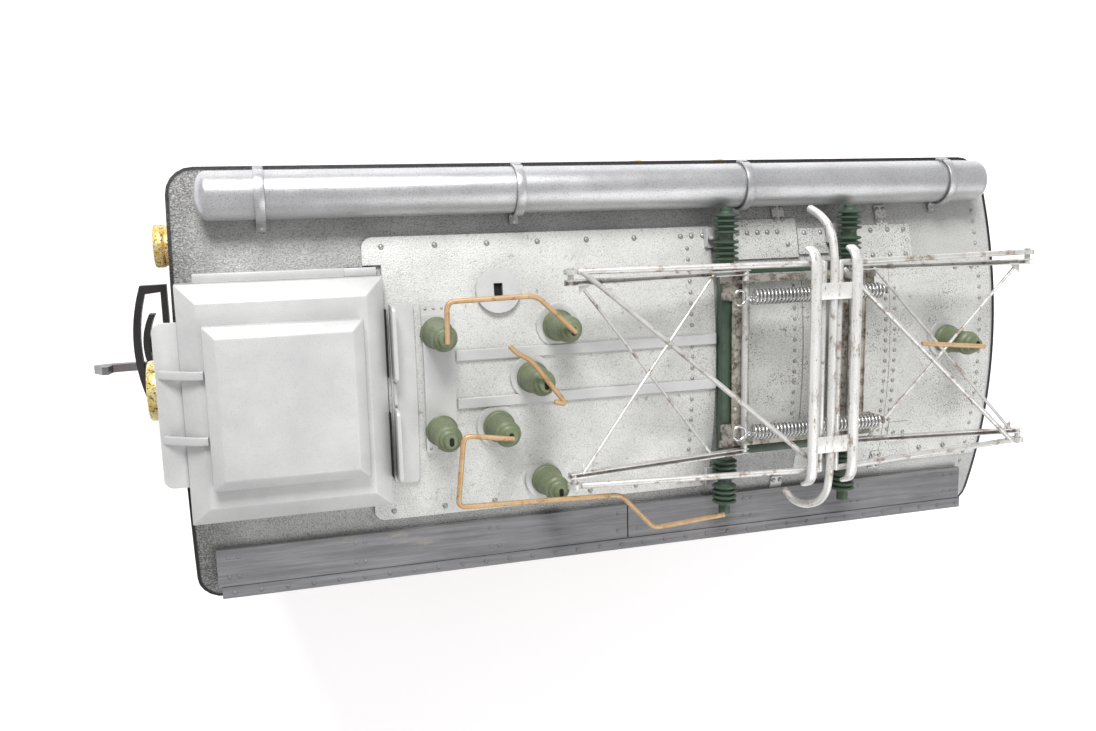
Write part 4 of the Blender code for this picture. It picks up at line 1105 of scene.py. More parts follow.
@dataclass
class Coil:
    """A helical tension spring along X with a ring at its front end and a hook at its rear."""

    name: str
    node: str
    front: float
    rear: float
    y: float
    z: float
    coil_radius: float = 1.9
    wire_radius: float = 0.4
    pitch: float = 1.16

    def build(self) -> None:
        """Winds the coil with a geometry-nodes tree and adds its eye and hook."""
        length = self.rear - self.front
        sizes = {
            "Coil Radius": self.coil_radius * MM, "Wire Radius": self.wire_radius * MM,
            "Coil Length": length * MM, "Turns": length / self.pitch}
        maker = TreeMaker(self.name + "_tree", sizes, SPRING_STEEL)
        spiral = maker.add("GeometryNodeCurveSpiral", resolution=TURN_STEPS)
        for key, socket in (
                ("Turns", "Rotations"), ("Coil Radius", "Start Radius"),
                ("Coil Radius", "End Radius"), ("Coil Length", "Height")):
            maker.join(maker.start.outputs[key], spiral.inputs[socket])
        round_wire = maker.add("GeometryNodeCurvePrimitiveCircle", resolution=WIRE_STEPS)
        maker.join(maker.start.outputs["Wire Radius"], round_wire.inputs["Radius"])
        wound = maker.add("GeometryNodeCurveToMesh", fill_caps=True)
        maker.join(spiral.outputs["Curve"], wound.inputs["Curve"])
        maker.join(round_wire.outputs["Curve"], wound.inputs["Profile Curve"])
        maker.close(wound.outputs["Mesh"])
        place = Matrix.Translation(Vector((self.front, self.y, self.z)) * MM) @ Axis.X.value
        coil = maker.run(self.name + "_coil", bpy.data.meshes.new(self.name), place)
        settle(coil, MAIN_BODY, (self.node,))
        ends = Shape()
        ring = [
            (self.front - 3.8 + 2.0 * cos(a), self.y + 2.0 * sin(a), self.z + 0.15 * sin(a))
            for a in [tau * i / 24 - pi / 8 for i in range(24)]]
        ends.tube(ring, self.wire_radius, 10, (0, 0.1, 1))
        ends.tube(
            bent(
                [
                    (self.front - 1.9, self.y, self.z), (self.front - 0.4, self.y, self.z + 0.3),
                    (self.front + 0.2, self.y, self.z + self.coil_radius)],
                0.8),
            self.wire_radius, 10, (0, 1, 0.2))
        ends.tube(
            bent(
                [
                    (self.rear - 0.1, self.y, self.z + self.coil_radius),
                    (self.rear + 0.5, self.y, self.z + 0.8),
                    (self.rear + 0.9, self.y, self.z - 1.0),
                    (self.rear + 0.3, self.y, self.z - 1.3)],
                0.6),
            self.wire_radius, 10, (0, 1, 0.2))
        ends.placed(self.name + "_ends", SPRING_STEEL)


# ---------------------------------------------------------------- roof

@dataclass
class Roof:
    """The pebbled roof shell, its thin riveted plates and everything pressed out of them."""

    patches: tuple = (
        ((155.5, 176.4), (29.0, 40.4)), ((176.7, 186.6), (29.8, 37.4)),
        ((197.0, 215.5), (27.3, 37.7)), ((209.0, 216.4), (-31.2, -24.2)))
    tabs: tuple = ((171.0, 42.0), (206.0, 40.6), (171.6, -41.6), (206.0, -36.6))
    bay: tuple = ((155.4, 176.6), (-24.6, 26.0))
    rear_bay: tuple = ((177.0, 206.9), (-38.0, 28.8))
    tail: tuple = ((207.0, 243.6), (-38.0, 27.2))
    bosses: tuple = (
        (99.7, 13.4, 1.9), (91.8, -0.4, 1.9), (82.1, -13.6, 1.9), (96.2, -30.9, 1.9),
        (226.5, 1.8, 0.9))

    # Rows of the larger rivets: stations, Ys and height over the roof.
    edge_rows: tuple = (
        (tuple(52.9 + 14.29 * i for i in range(7)), (36.3, -36.3), PLATE_TOP),
        ((142.0, 145.5), (36.3, -36.3), PLATE_TOP),
        ((156.9, 160.1, 163.5, 166.7, 170.0), (36.6,), 0.6), ((173.1,), (32.9,), 0.6),
        ((178.9, 184.4), (36.0,), 0.5), ((163.8, 167.0, 170.1), (24.0,), 0.5),
        ((201.7, 207.7, 213.3), (36.1, 28.6), 0.6))
    tail_rows: tuple = (
        ((211.0, 214.4), (-27.7,), 0.4), ((231.0, 237.0), (24.0,), 0.4),
        ((231.0, 222.0), (-34.0,), 0.4))
    fine_pitch: float = 3.2

    def build(self) -> None:
        """Dresses the shell and makes the plates and all their rivets."""
        dress(ROOF_SILVER, "roof_shell")
        dress(PLATE_SILVER, "roof_plate")
        plates = Shape()
        for lift, (x, y) in ((0.22, self.rear_bay), (0.34, self.bay), (0.28, self.tail)):
            plates.arched_slab(x, y, -0.2, lift, 0.8, 0.08, 20)
        for x, y in self.patches:
            plates.arched_slab(x, y, 0.0, 0.62, 0.3, 0.1, 8)
        for x, y in self.tabs:
            plates.arched_slab(around(x, 1.9), around(y, 2.9), 0.0, 0.7, 0.3, 0.1, 4)
        plates.placed("roof_patches", PLATE_SILVER, slot="plate_silver")
        raised = Shape()
        for y in ((5.1, 8.1), (-8.1, -5.1)):
            raised.arched_slab((70.9, 147.6), y, PLATE_TOP, PLATE_TOP + 0.85, 0.0, 0.22, 3)
        for x, y, top in self.bosses:
            profile = [
                (0, top - 0.6), (6.05, top - 0.6), (6.05, top - 0.25), (5.8, top + 0.06),
                (0, top + 0.06)]
            raised.turned(profile, point(x, y, 0.0 if x > 200 else arch(y)), Axis.Z, 48)
        raised.placed("roof_raised", HATCH_SILVER, slot="plate_silver")
        self.rivets().build()
        self.fine_rivets().build()

    def rivets(self) -> Studs:
        """The larger rivets along the long edges, on the patches and on the tabs.

        Returns:
            The studs, not yet built.
        """
        studs = Studs("roof_rivets", RIVET_SILVER, 0.78, 0.7)
        studs.rows(self.edge_rows)
        for x, y in self.tabs:
            for u in (-1.1, 1.1):
                for v in (-1.7, 1.7):
                    studs.on_roof(x + u, y + v, 0.65)
        studs.rows(self.tail_rows)
        return studs

    def fine_rivets(self) -> Studs:
        """The close rows across the roof.

        Returns:
            The studs, not yet built.
        """
        studs = Studs("roof_fine_rivets", RIVET_SILVER, 0.6, 0.75)
        for i in range(21):
            y = 32.8 - 3.115 * i
            if abs(abs(y) - 6.6) > 1.7:
                studs.on_roof(140.3, y, PLATE_TOP)
        for i in range(13):
            studs.on_roof(174.0, 20.5 - self.fine_pitch * i, 0.32)
        for i in range(16):
            studs.rows([((205.4, 208.6), (18.5 - self.fine_pitch * i,), 0.25)])
        for i in range(26):
            y = 44.5 - 3.4 * i
            studs.on_roof(239.6, y, 0.25 if -38 < y < 26.9 else 0.0)
        for i in range(10):
            studs.on_roof(210.5 + 3.1 * i, 24.6, 0.25)
        return studs


@dataclass
class Hatch:
    """The two-tier hatch at the front of the roof, with softened edges."""

    x: tuple = (1.0, 52.2)
    y: tuple = (-32.6, 29.0)

    def tier(self, x: Point, y: Point, tiers: Sequence[Point]) -> bmesh.types.BMesh:
        """A block whose sides lean in.

        Args:
            x: low and high station at its foot.
            y: low and high Y at its foot.
            tiers: (level, inset) from the foot up.

        Returns:
            The mesh.
        """
        part = bmesh.new()
        rings = []
        for height, inset in tiers:
            corners = rounded_outline(
                (station(x[0]) + inset, station(x[1]) - inset), (y[0] + inset, y[1] - inset), 0)
            rings.append([part.verts.new((u, v, level(height))) for u, v in corners])
        for one, two in zip(rings, rings[1:]):
            for i in range(4):
                part.faces.new((one[i], one[(i + 1) % 4], two[(i + 1) % 4], two[i]))
        part.faces.new(list(reversed(rings[0])))
        part.faces.new(rings[-1])
        return part

    def build(self) -> None:
        """Makes the base over the arch and the lid."""
        base = Shape()
        base.added(self.tier(self.x, self.y, ((-0.9, 0.0), (2.4, 0.0), (5.7, 4.7))), 0.28, 2)
        steps = 6
        for low, high in ((self.y[0], -9.0), (9.0, self.y[1])):
            across = [low + (high - low) * i / steps for i in range(steps + 1)]
            outline = [(y, level(arch(y) + 0.35)) for y in across]
            outline += [(high, level(0.2)), (low, level(0.2))]
            base.slab(outline, station(self.x[0]), station(self.x[1]), "YZ")
        for start, inner, outer in ((5.2, -1.4, -1.7), (42.7, -0.5, -0.8)):
            outline = [
                (28.0, level(-4.2)), (31.2, level(-4.2)), (31.2, level(outer)),
                (28.0, level(inner))]
            base.slab(outline, *stations(start, 51.0), "YZ", 0.2)
        base.skin("hatch_base", HATCH_SILVER, "plate_silver")
        lid = Shape()
        lid.added(
            self.tier((7.1, 46.1), (-22.5, 18.9), ((6.0, 0.0), (9.1, 0.0), (11.1, 2.9))), 0.32, 2)
        lid.skin("hatch_lid", HATCH_SILVER, "plate_silver")
        seam = Shape()
        seam.slab(
            rounded_outline(stations(7.35, 45.85), (-22.25, 18.65), 0.6), level(5.62), level(5.98),
            "XY")
        seam.placed("hatch_seam", HATCH_SILVER)


@dataclass
class RoofFittings:
    """The visor, baffle tray, insulator strip, disc cover, tank and walkway."""

    tank_straps: tuple = (22.9, 89.8, 157.0, 224.4)
    tank_radius: float = 6.2
    tank_y: float = 50.4
    tank_level: float = -2.2
    tank_half: float = 116.0
    tank_dome: float = 3.2
    tank_centre: float = 123.1

    def build(self) -> None:
        """Makes each fitting."""
        self.visor()
        self.tray()
        self.strip()
        self.tank()
        self.walkway()

    def visor(self) -> None:
        """The visor plate over the top front lamp and its two curved ribs."""
        made = Shape()
        made.slab(
            rounded_outline(stations(-5.1, 0.96), (-22.8, 19.6), (2.5, 0, 0, 2.5)), level(0.3),
            level(1.2), "XY", 0.25)
        for y in (6.7, -9.9):
            run = bent(
                [
                    point(-4.0, y, 1.0), point(-1.8, y, 2.9), point(1.2, y, 4.8),
                    point(4.0, y, 6.35), point(6.7, y, 6.95)],
                1.4, 4)
            made.swept(run, flat_section(1.1, 0.55, 0.3, 3), (0, 0, 1))
        made.skin("lamp_visor", HATCH_SILVER, "plate_silver")

    def tray(self) -> None:
        """The baffle tray behind the hatch, with a black sheet of painted shade in the gap in
        front of each blade.
        """
        made = Shape()
        made.arched_slab(
            (53.2, 60.0), (-27.8, 21.6), PLATE_TOP + 0.3, PLATE_TOP + 1.1, 1.2, 0.15, 10)
        for low, high in ((1.4, 21.4), (-25.8, -6.1)):
            deep = level(arch(max(abs(low), abs(high))) + PLATE_TOP + 0.5)
            outline = rounded_outline((low, high), (deep, level(8.0)), (0, 0, 1.6, 1.6))
            made.slab(outline, *stations(53.5, 54.6), "YZ", 0.22)
        made.slab(
            rounded_outline((-5.4, 0.8), levels(PLATE_TOP + 0.4, 3.4), (0, 0, 0.5, 0.5)),
            *stations(53.6, 54.5), "YZ", 0.15)
        made.skin("baffle_tray", HATCH_SILVER, "plate_silver")
        # Painted shade: thin black sheets stand in the gap between the hatch and each blade, where
        # shade falls.
        dark = Shape()
        for low, high in ((2.4, 20.4), (-24.8, -7.1)):
            dark.block(stations(52.32, 52.5), (low, high), levels(1.2, 4.2))
        dark.placed("hatch_gap_shade", GAP_BLACK)

    def strip(self) -> None:
        """The raised strip under two insulators, its rivet tabs, and the disc cover."""
        made = Shape()
        made.arched_slab(
            (62.0, 70.4), (-19.6, 18.2), PLATE_TOP + 0.4, PLATE_TOP + 1.6, 0.6, 0.2, 12)
        made.arched_slab(
            (62.0, 69.2), (17.4, 21.2), PLATE_TOP + 0.3, PLATE_TOP + 1.0, 0.5, 0.15, 3)
        made.skin("insulator_strip", HATCH_SILVER, "plate_silver")
        studs = Studs("strip_rivets", RIVET_SILVER, 0.42, 0.6)
        for x in (63.2, 65.4, 67.6):
            studs.on_roof(x, 19.7, PLATE_TOP + 1.0)
            studs.on_roof(x, -18.4, PLATE_TOP + 1.6)
        studs.build()
        dress(HATCH_SILVER, "disc_cover")
        hole = Shape()
        hole.arched_slab(
            (82.2, 84.6), (21.7, 25.5), PLATE_TOP - 0.1, PLATE_TOP + 0.25, 0.0, 0.0, 3)
        hole.placed("disc_cover_slot", GAP_BLACK)

    def tank(self) -> None:
        """The air tank with its domed ends and its straps."""
        half, dome = self.tank_half, self.tank_dome
        curve = [
            (self.tank_radius * sin(pi / 2 * i / 8), half - dome * (1 - cos(pi / 2 * i / 8)))
            for i in range(9)]
        profile = [(r, h) for r, h in curve] + [(r, -h) for r, h in reversed(curve)]
        centre = point(self.tank_centre, self.tank_y, self.tank_level)
        Shape().turned(profile, centre, Axis.X, 72).skin("air_tank", TANK_SILVER, "tank_silver")
        screws = Studs("strap_screws", PLATE_SILVER, 0.5, 0.5)
        for index, x in enumerate(self.tank_straps, 1):
            made = Shape()
            radius, middle = self.tank_radius + 0.6, level(self.tank_level)
            turn = [
                (self.tank_y + radius * cos(radians(a)), middle + radius * sin(radians(a)))
                for a in range(-6, 205, 6)]
            path = [(station(x), y, z) for y, z in turn]
            path += [
                (station(x), 43.2, level(arch(43.4) + 0.9)),
                (station(x), 41.1, level(arch(41.1) + 0.85))]
            made.swept(path, flat_section(1.25, 0.28, 0.15, 2), (0.0, -0.3, 0.9))
            made.skin(f"tank_strap_{index}", TANK_SILVER, "plate_silver", smooth=50)
            screws.on_roof(x, 42.0, 1.1)
        screws.build()

    def walkway(self) -> None:
        """The walkway's grain, its joint, screws, the rivets of its lip, and a painted shadow line
        along the lip.
        """
        dress(PLANK_GREY, "walkway")
        screws = Studs("walkway_screws", PLANK_GREY, 0.55, 0.45)
        for x in (
                8.5, 11.0, 42.0, 44.5, 80.0, 82.5, 118.8, 125.0, 160.0, 162.5, 198.0, 200.5, 232.5,
                235.5):
            for y in (-44.6, -50.0):
                screws.add(point(x, y, -4.5))
        screws.build()
        rivets = Studs("walkway_lip_rivets", PLANK_GREY, 0.6, 0.55)
        for i in range(34):
            rivets.add(point(9.5 + 6.9 * i, -54.3, -4.2))
        rivets.build()
        joint = Shape()
        joint.block(stations(121.75, 122.1), (-52.4, -42.5), levels(-4.6, -4.46))
        # Painted shadow: a black line between the walkway and its lip, where the lip's shadow
        # falls.
        joint.block(stations(6.4, 238.4), (-52.75, -52.6), levels(-4.6, -4.44))
        joint.placed("walkway_joint_and_lip_shadow", GAP_BLACK)


# ---------------------------------------------------------------- insulators and wires

@dataclass
class Insulators:
    """The stepped post insulators, each with a slot in its top, and the wires over them."""

    posts: dict = field(
        default_factory=lambda: {
            "insulator_a": (65.9, 13.1, 1.6, 0.8), "insulator_b": (99.7, 13.4, 2.2, 0.0),
            "insulator_c": (91.8, -0.4, 2.2, 0.0), "insulator_d": (66.2, -13.4, 1.6, 0.8),
            "insulator_e": (82.1, -13.6, 2.2, 0.0), "insulator_f": (96.2, -30.9, 2.2, 0.0),
            "insulator_g": (226.5, 1.8, 1.2, 0.0)})
    wire_radius: float = 0.68
    height: float = 14.6

    def build(self) -> None:
        """Makes every insulator and every wire."""
        for name, (x, y, foot, extra) in self.posts.items():
            self.post(name, x, y, level((0.0 if name == "insulator_g" else arch(y)) + foot), extra)
        self.wires()

    def post(self, name: str, x: float, y: float, foot: float, extra: float) -> None:
        """One insulator with a dark rounded slot in its top.

        Args:
            name: the node it stands for.
            x: its station.
            y: its Y.
            foot: Z of its foot.
            extra: how much taller it is than the others.
        """
        upper = [
            (0, 14.6), (1.35, 14.6), (1.75, 14.45), (1.95, 14.0), (2.0, 13.0), (2.45, 12.8),
            (2.75, 12.55), (2.9, 12.1), (2.9, 11.45), (3.2, 11.2), (3.5, 10.9), (3.6, 10.4),
            (3.6, 9.6), (3.45, 9.25), (3.2, 9.1), (3.45, 6.6)]
        lower = [(3.95, 2.0), (4.0, 1.6), (4.25, 1.45), (4.4, 1.2), (4.4, 0.1), (4.3, 0.0), (0, 0)]
        profile = [(r, h + extra) for r, h in upper] + lower
        Shape().turned(profile, (station(x), y, foot), Axis.Z, 44).skin(
            name, SAGE_GREEN, "insulator_green")
        hole = Shape()
        top = foot + self.height + extra
        hole.slab(
            rounded_outline(around(station(x), 0.62), around(y, 1.15), 0.6, 6), top - 0.1,
            top + 0.03, "XY")
        hole.placed(name + "_slot", GAP_BLACK)

    def wires(self) -> None:
        """The bare wires, bent where the real ones are."""
        over = self.wire_radius + 0.34
        posts = self.posts

        def top(name: str) -> float:
            """Level just over an insulator."""
            _, y, foot, extra = posts[name]
            return (0.0 if name == "insulator_g" else arch(y)) + foot + extra + self.height + over

        routes = {
            "wire_a_to_b": (
                MAIN_BODY,
                [
                    (65.9, 12.3, top("insulator_a")), (66.2, 22.9, 16.6), (89.6, 23.3, 16.6),
                    (99.9, 13.2, top("insulator_b"))]),
            "wire_over_c": (
                MAIN_BODY,
                [
                    (81.9, 10.8, 17.8), (84.0, 8.6, top("insulator_c")),
                    (87.2, 7.0, top("insulator_c")), (96.8, -5.6, top("insulator_c")),
                    (93.6, -4.6, top("insulator_c"))]),
            "wire_e_to_bar": (
                MAIN_BODY,
                [
                    (82.4, -13.8, top("insulator_e")), (69.2, -11.8, 17.0), (67.2, -30.9, 16.2),
                    (97.0, -32.3, 14.7), (113.2, -33.2, 13.6), (125.2, -45.8, 8.2),
                    (148.5, -45.4, 5.5)]),
            "wire_to_g": (
                "lower_arm_rear_body", [(207.4, 3.3, 15.2), (228.0, 1.4, top("insulator_g"))]),}
        for name, (body, route) in routes.items():
            points = [point(x, y, z) for x, y, z in route]
            Shape().tube(bent(points, 2.2, 8), self.wire_radius, 18).skin(
                name, WIRE_TAN, "copper_wire", body, ROUND)


@dataclass
class InsulatorFrame:
    """The green ribbed bars under the pantograph, their side bars and their sheet saddles."""

    bars: tuple = (150.0, 190.0)
    bar_level: float = 2.6
    side_bar_y: float = 26.6

    def profile(self, tip: float) -> list[tuple[float, float]]:
        """Radius and Y of a bar's outer half, from its tip inwards.

        Args:
            tip: Y of its tip.

        Returns:
            The (radius, Y) points.
        """
        made = [(0, tip), (1.45, tip), (1.7, tip - 0.25), (1.7, 43.3)]
        for group in (42.2, 34.6):
            for i in range(4):
                y = group - 1.55 * i
                made += [
                    (2.25, y + 0.42), (3.3, y + 0.2), (3.58, y + 0.02), (3.6, y - 0.28),
                    (3.35, y - 0.48), (2.3, y - 0.68)]
            if group > 40:
                made += [(2.08, group - 5.9), (2.08, group - 7.05)]
        return made + [(2.2, 28.2), (2.2, 26.0), (0, 26.0)]

    def build(self) -> None:
        """Makes the green frame and the four saddles."""
        made = Shape()
        low, high = level(self.bar_level - 1.9), level(self.bar_level + 1.9)
        for bar in self.bars:
            x = station(bar)
            for side, tip in ((1, 44.2), (-1, 46.0)):
                shape = [(r, side * y) for r, y in self.profile(tip)]
                made.turned(
                    shape if side > 0 else shape[::-1], (x, 0, level(self.bar_level)), Axis.Y, 36)
            made.block(around(x, 1.9), (-27.9, 27.9), (low, high), 0.35)
        for side in (-1, 1):
            y = side * self.side_bar_y
            made.block(
                stations(self.bars[0], self.bars[1]), around(y, 1.3), (low + 0.4, high - 0.4), 0.3)
        made.skin("insulator_frame", FRAME_GREEN, "frame_green")
        for bar, end_name in zip(self.bars, ("front", "rear")):
            for side, side_name in ((-1, "right"), (1, "left")):
                self.saddle(f"saddle_{end_name}_{side_name}", station(bar), side * 35.7)

    def saddle(self, name: str, x: float, y: float) -> None:
        """One sheet saddle: a foot with turned-up ends, and the upright under the bar's waist.

        Args:
            name: the node it stands for.
            x: X of the bar.
            y: Y of its middle.
        """
        made = Shape()
        base = arch(y) + PLATE_TOP + 0.35
        made.arched_slab(
            (x + ROOF_LENGTH / 2 - 4.3, x + ROOF_LENGTH / 2 + 4.3), around(y, 2.9),
            PLATE_TOP + 0.35, PLATE_TOP + 0.9, 0.4, 0.1, 4)
        made.block(
            around(x, 3.6), around(y, 0.45), (level(base), level(self.bar_level) - 2.5), 0.12)
        for end in (-1, 1):
            made.block(
                (x + end * 4.25, x + end * 3.75), around(y, 2.6), levels(base, base + 1.9), 0.12)
        made.skin(name, HATCH_SILVER, "plate_silver")


# ---------------------------------------------------------------- pantograph

@dataclass(frozen=True)
class ArmLine:
    """An arm's centre line in the XZ plane, from its foot to its tip."""

    foot: tuple[float, float]
    tip: tuple[float, float]

    def at(self, t: float, y: float, lift: float = 0.0) -> tuple[float, float, float]:
        """A point at a share of the arm's length, at Y and lifted."""
        (x0, z0), (x1, z1) = self.foot, self.tip
        return (x0 + (x1 - x0) * t, y, z0 + (z1 - z0) * t + lift)


@dataclass
class Pantograph:
    """The folding pantograph: base frame, four arms, head and springs."""

    middle: float = 171.4
    shaft_spread: float = 17.5
    apex_spread: float = 2.5
    shaft_level: float = 7.2
    lower_length: float = 55.0
    rest_angle: float = radians(8.0)
    lower_half: float = 26.0
    upper_half: float = 28.9
    bars: tuple = (150.0, 190.0)

    @property
    def upper_length(self) -> float:
        """Length of an upper arm."""
        return self.shaft_spread - self.apex_spread + self.lower_length

    @property
    def reach(self) -> float:
        """Each knee from the middle."""
        return self.shaft_spread + self.lower_length * cos(self.rest_angle)

    @property
    def knee_level(self) -> float:
        """Level of the knees at rest."""
        return self.shaft_level + self.lower_length * sin(self.rest_angle)

    @property
    def apex_level(self) -> float:
        """Level of the apex tubes at rest."""
        rest = acos((self.reach - self.apex_spread) / self.upper_length)
        return self.knee_level + self.upper_length * sin(rest)

    def build(self) -> None:
        """Makes every piece of the pantograph."""
        self.base()
        for end, name in ((-1, "front"), (1, "rear")):
            self.lower_arm(end, name)
            self.upper_arm(end, name)
        self.head()
        front, rear = station(self.bars[0]), station(self.bars[1])
        for side, name in ((1, "spring_left"), (-1, "spring_right")):
            Coil(name, name, front + 3.6, rear + 5.0, side * 19.4, level(12.0)).build()

    def base(self) -> None:
        """The tinplate frame: cross channels, side strips, cheeks, gussets and spring posts."""
        made = Shape()
        low = level(self.shaft_level) - 2.4
        front, rear = station(self.bars[0]), station(self.bars[1])
        for x in ((front + 0.6, front + 6.0), (rear - 6.2, rear - 1.6), (rear + 1.2, rear + 4.6)):
            made.block(x, (-25.0, 25.0), (low, low + 0.55), 0.12)
            for edge in x:
                inner = edge + (0.28 if edge == x[0] else -0.28)
                made.block(sorted((edge, inner)), (-24.8, 24.8), (low, low + 1.0), 0.08)
        for side in (-1, 1):
            made.block(
                (front - 3, rear + 7.5), sorted((side * 22.9, side * 24.95)), (low, low + 0.9),
                0.15)
            for end in (-1, 1):
                x = station(self.middle) + end * self.shaft_spread
                outline = rounded_outline(
                    around(x, 2.3), (low + 0.4, level(self.shaft_level) + 2.3), (0, 0, 1.6, 1.6), 6
                )
                made.slab(outline, side * 23.4 - 0.45, side * 23.4 + 0.45, "XZ", 0.12)
            for post, inner in ((front - 2.2, front + 2.0), (rear + 7.0, rear + 3.0)):
                made.block(
                    around(post, 0.35), sorted((side * 18.4, side * 20.4)), (low, level(12.9)), 0.2
                )
                gusset = [
                    (post, side * 18.2), (inner, side * 18.2),
                    (inner + (2.5 if post < inner else -2.5), side * 24.8), (post, side * 24.8)]
                made.slab(gusset, low + 0.1, low + 0.85, "XY", 0.12)
        made.placed(
            "panto_base_skin", BASE_TIN, MAIN_BODY, ("panto_base_frame",), slot="panto_steel")
        screws = Studs("base_screws", BASE_TIN, 0.75, 0.6)
        for x in (front + 2.0, rear - 4.0, rear + 2.9):
            for y in (-14.0, 0.0, 14.0):
                screws.add((x, y, low + 0.6))
        screws.build()

    def lower_arm(self, end: int, name: str) -> None:
        """A base shaft, two open channels to the knees, their pins, and the crossed wire brace.

        Args:
            end: -1 for the front arm and 1 for the rear.
            name: the end's name.
        """
        shaft_x, knee_x = (station(self.middle) + end * v for v in (self.shaft_spread, self.reach))
        z0, z1 = level(self.shaft_level), level(self.knee_level)
        along = ArmLine((shaft_x, z0), (knee_x, z1)).at
        made = Shape()
        made.turned(pin_profile(1.0, 26.4, 0.2, 0.1), (shaft_x, 0, z0), Axis.Y, 20)
        channel = [
            (-0.75, -1.05), (0.75, -1.05), (0.75, 1.05), (0.45, 1.05), (0.45, -0.7), (-0.45, -0.7),
            (-0.45, 1.05), (-0.75, 1.05)]
        for side in (-1, 1):
            y = side * self.lower_half
            made.swept([along(-0.02, y), along(0.5, y), along(1.025, y)], channel)
            ends = sorted((side * (self.lower_half - 0.6), side * (self.upper_half + 1.05)))
            made.turned(
                [(0, ends[0]), (0.8, ends[0]), (0.8, ends[1]), (0, ends[1])], (knee_x, 0, z1),
                Axis.Y, 18)
            near, far, across = (0.2 if end < 0 else 0.11), 0.955, side * (self.lower_half - 0.2)
            bow = side * -0.35
            made.tube(
                [
                    along(far, across, bow), along((near + far) / 2, 0, bow * 0.4),
                    along(near, -across, bow)],
                0.46, 10)
            made.slab(
                [
                    along(far, across)[:2], along(far - 0.07, across)[:2],
                    along(far, across - side * 3.0)[:2]],
                along(far, 0)[2] - 0.2, along(far, 0)[2] + 0.1, "XY")
        made.skin(f"lower_arm_{name}", PANTO_STEEL, "panto_steel", f"lower_arm_{name}_body")

    def upper_arm(self, end: int, name: str) -> None:
        """Two tubes flattened at the knees, an apex tube and one long diagonal.

        Args:
            end: -1 for the front arm and 1 for the rear.
            name: the end's name.
        """
        knee_x, apex_x = (station(self.middle) + end * v for v in (self.reach, self.apex_spread))
        z0, z1 = level(self.knee_level), level(self.apex_level)
        along = ArmLine((knee_x, z0), (apex_x, z1)).at
        made = Shape()
        made.turned(pin_profile(0.9, 29.4, 0.2, 0.1), (apex_x, 0, z1), Axis.Y, 20)
        for side in (-1, 1):
            y = side * self.upper_half
            made.tube([along(0.03, y), along(0.5, y), along(1.0, y)], 0.85, 18)
            eye = [
                (1.15, y - 0.65), (1.9, y - 0.65), (1.9, y + 0.65), (1.15, y + 0.65),
                (1.15, y - 0.65)]
            made.turned(eye, (knee_x, 0, z0), Axis.Y, 28)
        diagonal = [
            along(0.04, end * -self.upper_half, 0.4),
            along(0.12, end * -(self.upper_half - 4.6), 1.1),
            along(0.98, end * (self.upper_half - 1.8), 0.0)]
        made.tube(bent(diagonal, 2.5, 5), 0.72, 16)
        made.skin(f"upper_arm_{name}", PANTO_STEEL, "panto_steel", f"upper_arm_{name}_body")

    def head(self) -> None:
        """The worn contact strips with bent ends, the cross plates, the eyes and the horn rod."""
        made = Shape()
        middle, top = station(self.middle), level(self.apex_level) + 3.4
        section = [
            (-1.5, -1.05), (-1.2, -1.2), (1.2, -1.2), (1.5, -1.05), (1.5, -0.45), (1.05, -0.08),
            (0.45, 0.0), (-0.45, 0.0), (-1.05, -0.08), (-1.5, -0.45)]
        ends = [(27.5, 0.0), (30.6, -0.4), (32.6, -1.9), (33.6, -4.1)]
        for end in (-1, 1):
            x = middle + end * 6.3
            path = [(x, -y, top + z) for y, z in reversed(ends)] + [
                (x, y, top + z) for y, z in ends]
            made.swept(bent(path, 1.6, 5), section)
        for side in (-1, 1):
            y = side * 21.4
            made.block(around(middle, 6.3), around(y, 2.25), (top - 1.75, top - 0.75), 0.25)
            for flange in (-2.0, 2.0):
                made.block(
                    around(middle, 6.0), sorted((y + flange, y + flange * 1.12)),
                    (top - 1.9, top - 0.9))
            x, z = middle - 2.5, level(self.apex_level)
            outline = [
                (x + 1.95 * cos(radians(a)), z + 1.95 * sin(radians(a)))
                for a in range(180, 361, 12)]
            made.slab(
                outline + [(x + 1.95, top - 0.95), (x - 1.95, top - 0.95)], y - 0.45, y + 0.45,
                "XZ", 0.1)
        rod = [
            (-5.0, -38.8, -16.0), (-3.8, -41.2, -12.4), (-2.3, -41.4, -8.4), (-0.8, -39.2, -3.6),
            (0.0, -35.4, -1.0), (0.0, -30.0, 0.0), (0.0, 30.0, 0.0), (0.0, 35.4, -1.0),
            (0.0, 39.2, -3.6), (0.0, 41.8, -8.0), (0.0, 43.4, -13.0)]
        made.tube(
            bent([(middle + x, y, top - 2.2 + z) for x, y, z in rod], 2.0, 5), 1.1, 20, (1, 0, 0))
        made.skin("pan_head", HEAD_SILVER, "panto_steel", "pan_head_body")


# ---------------------------------------------------------------- cab

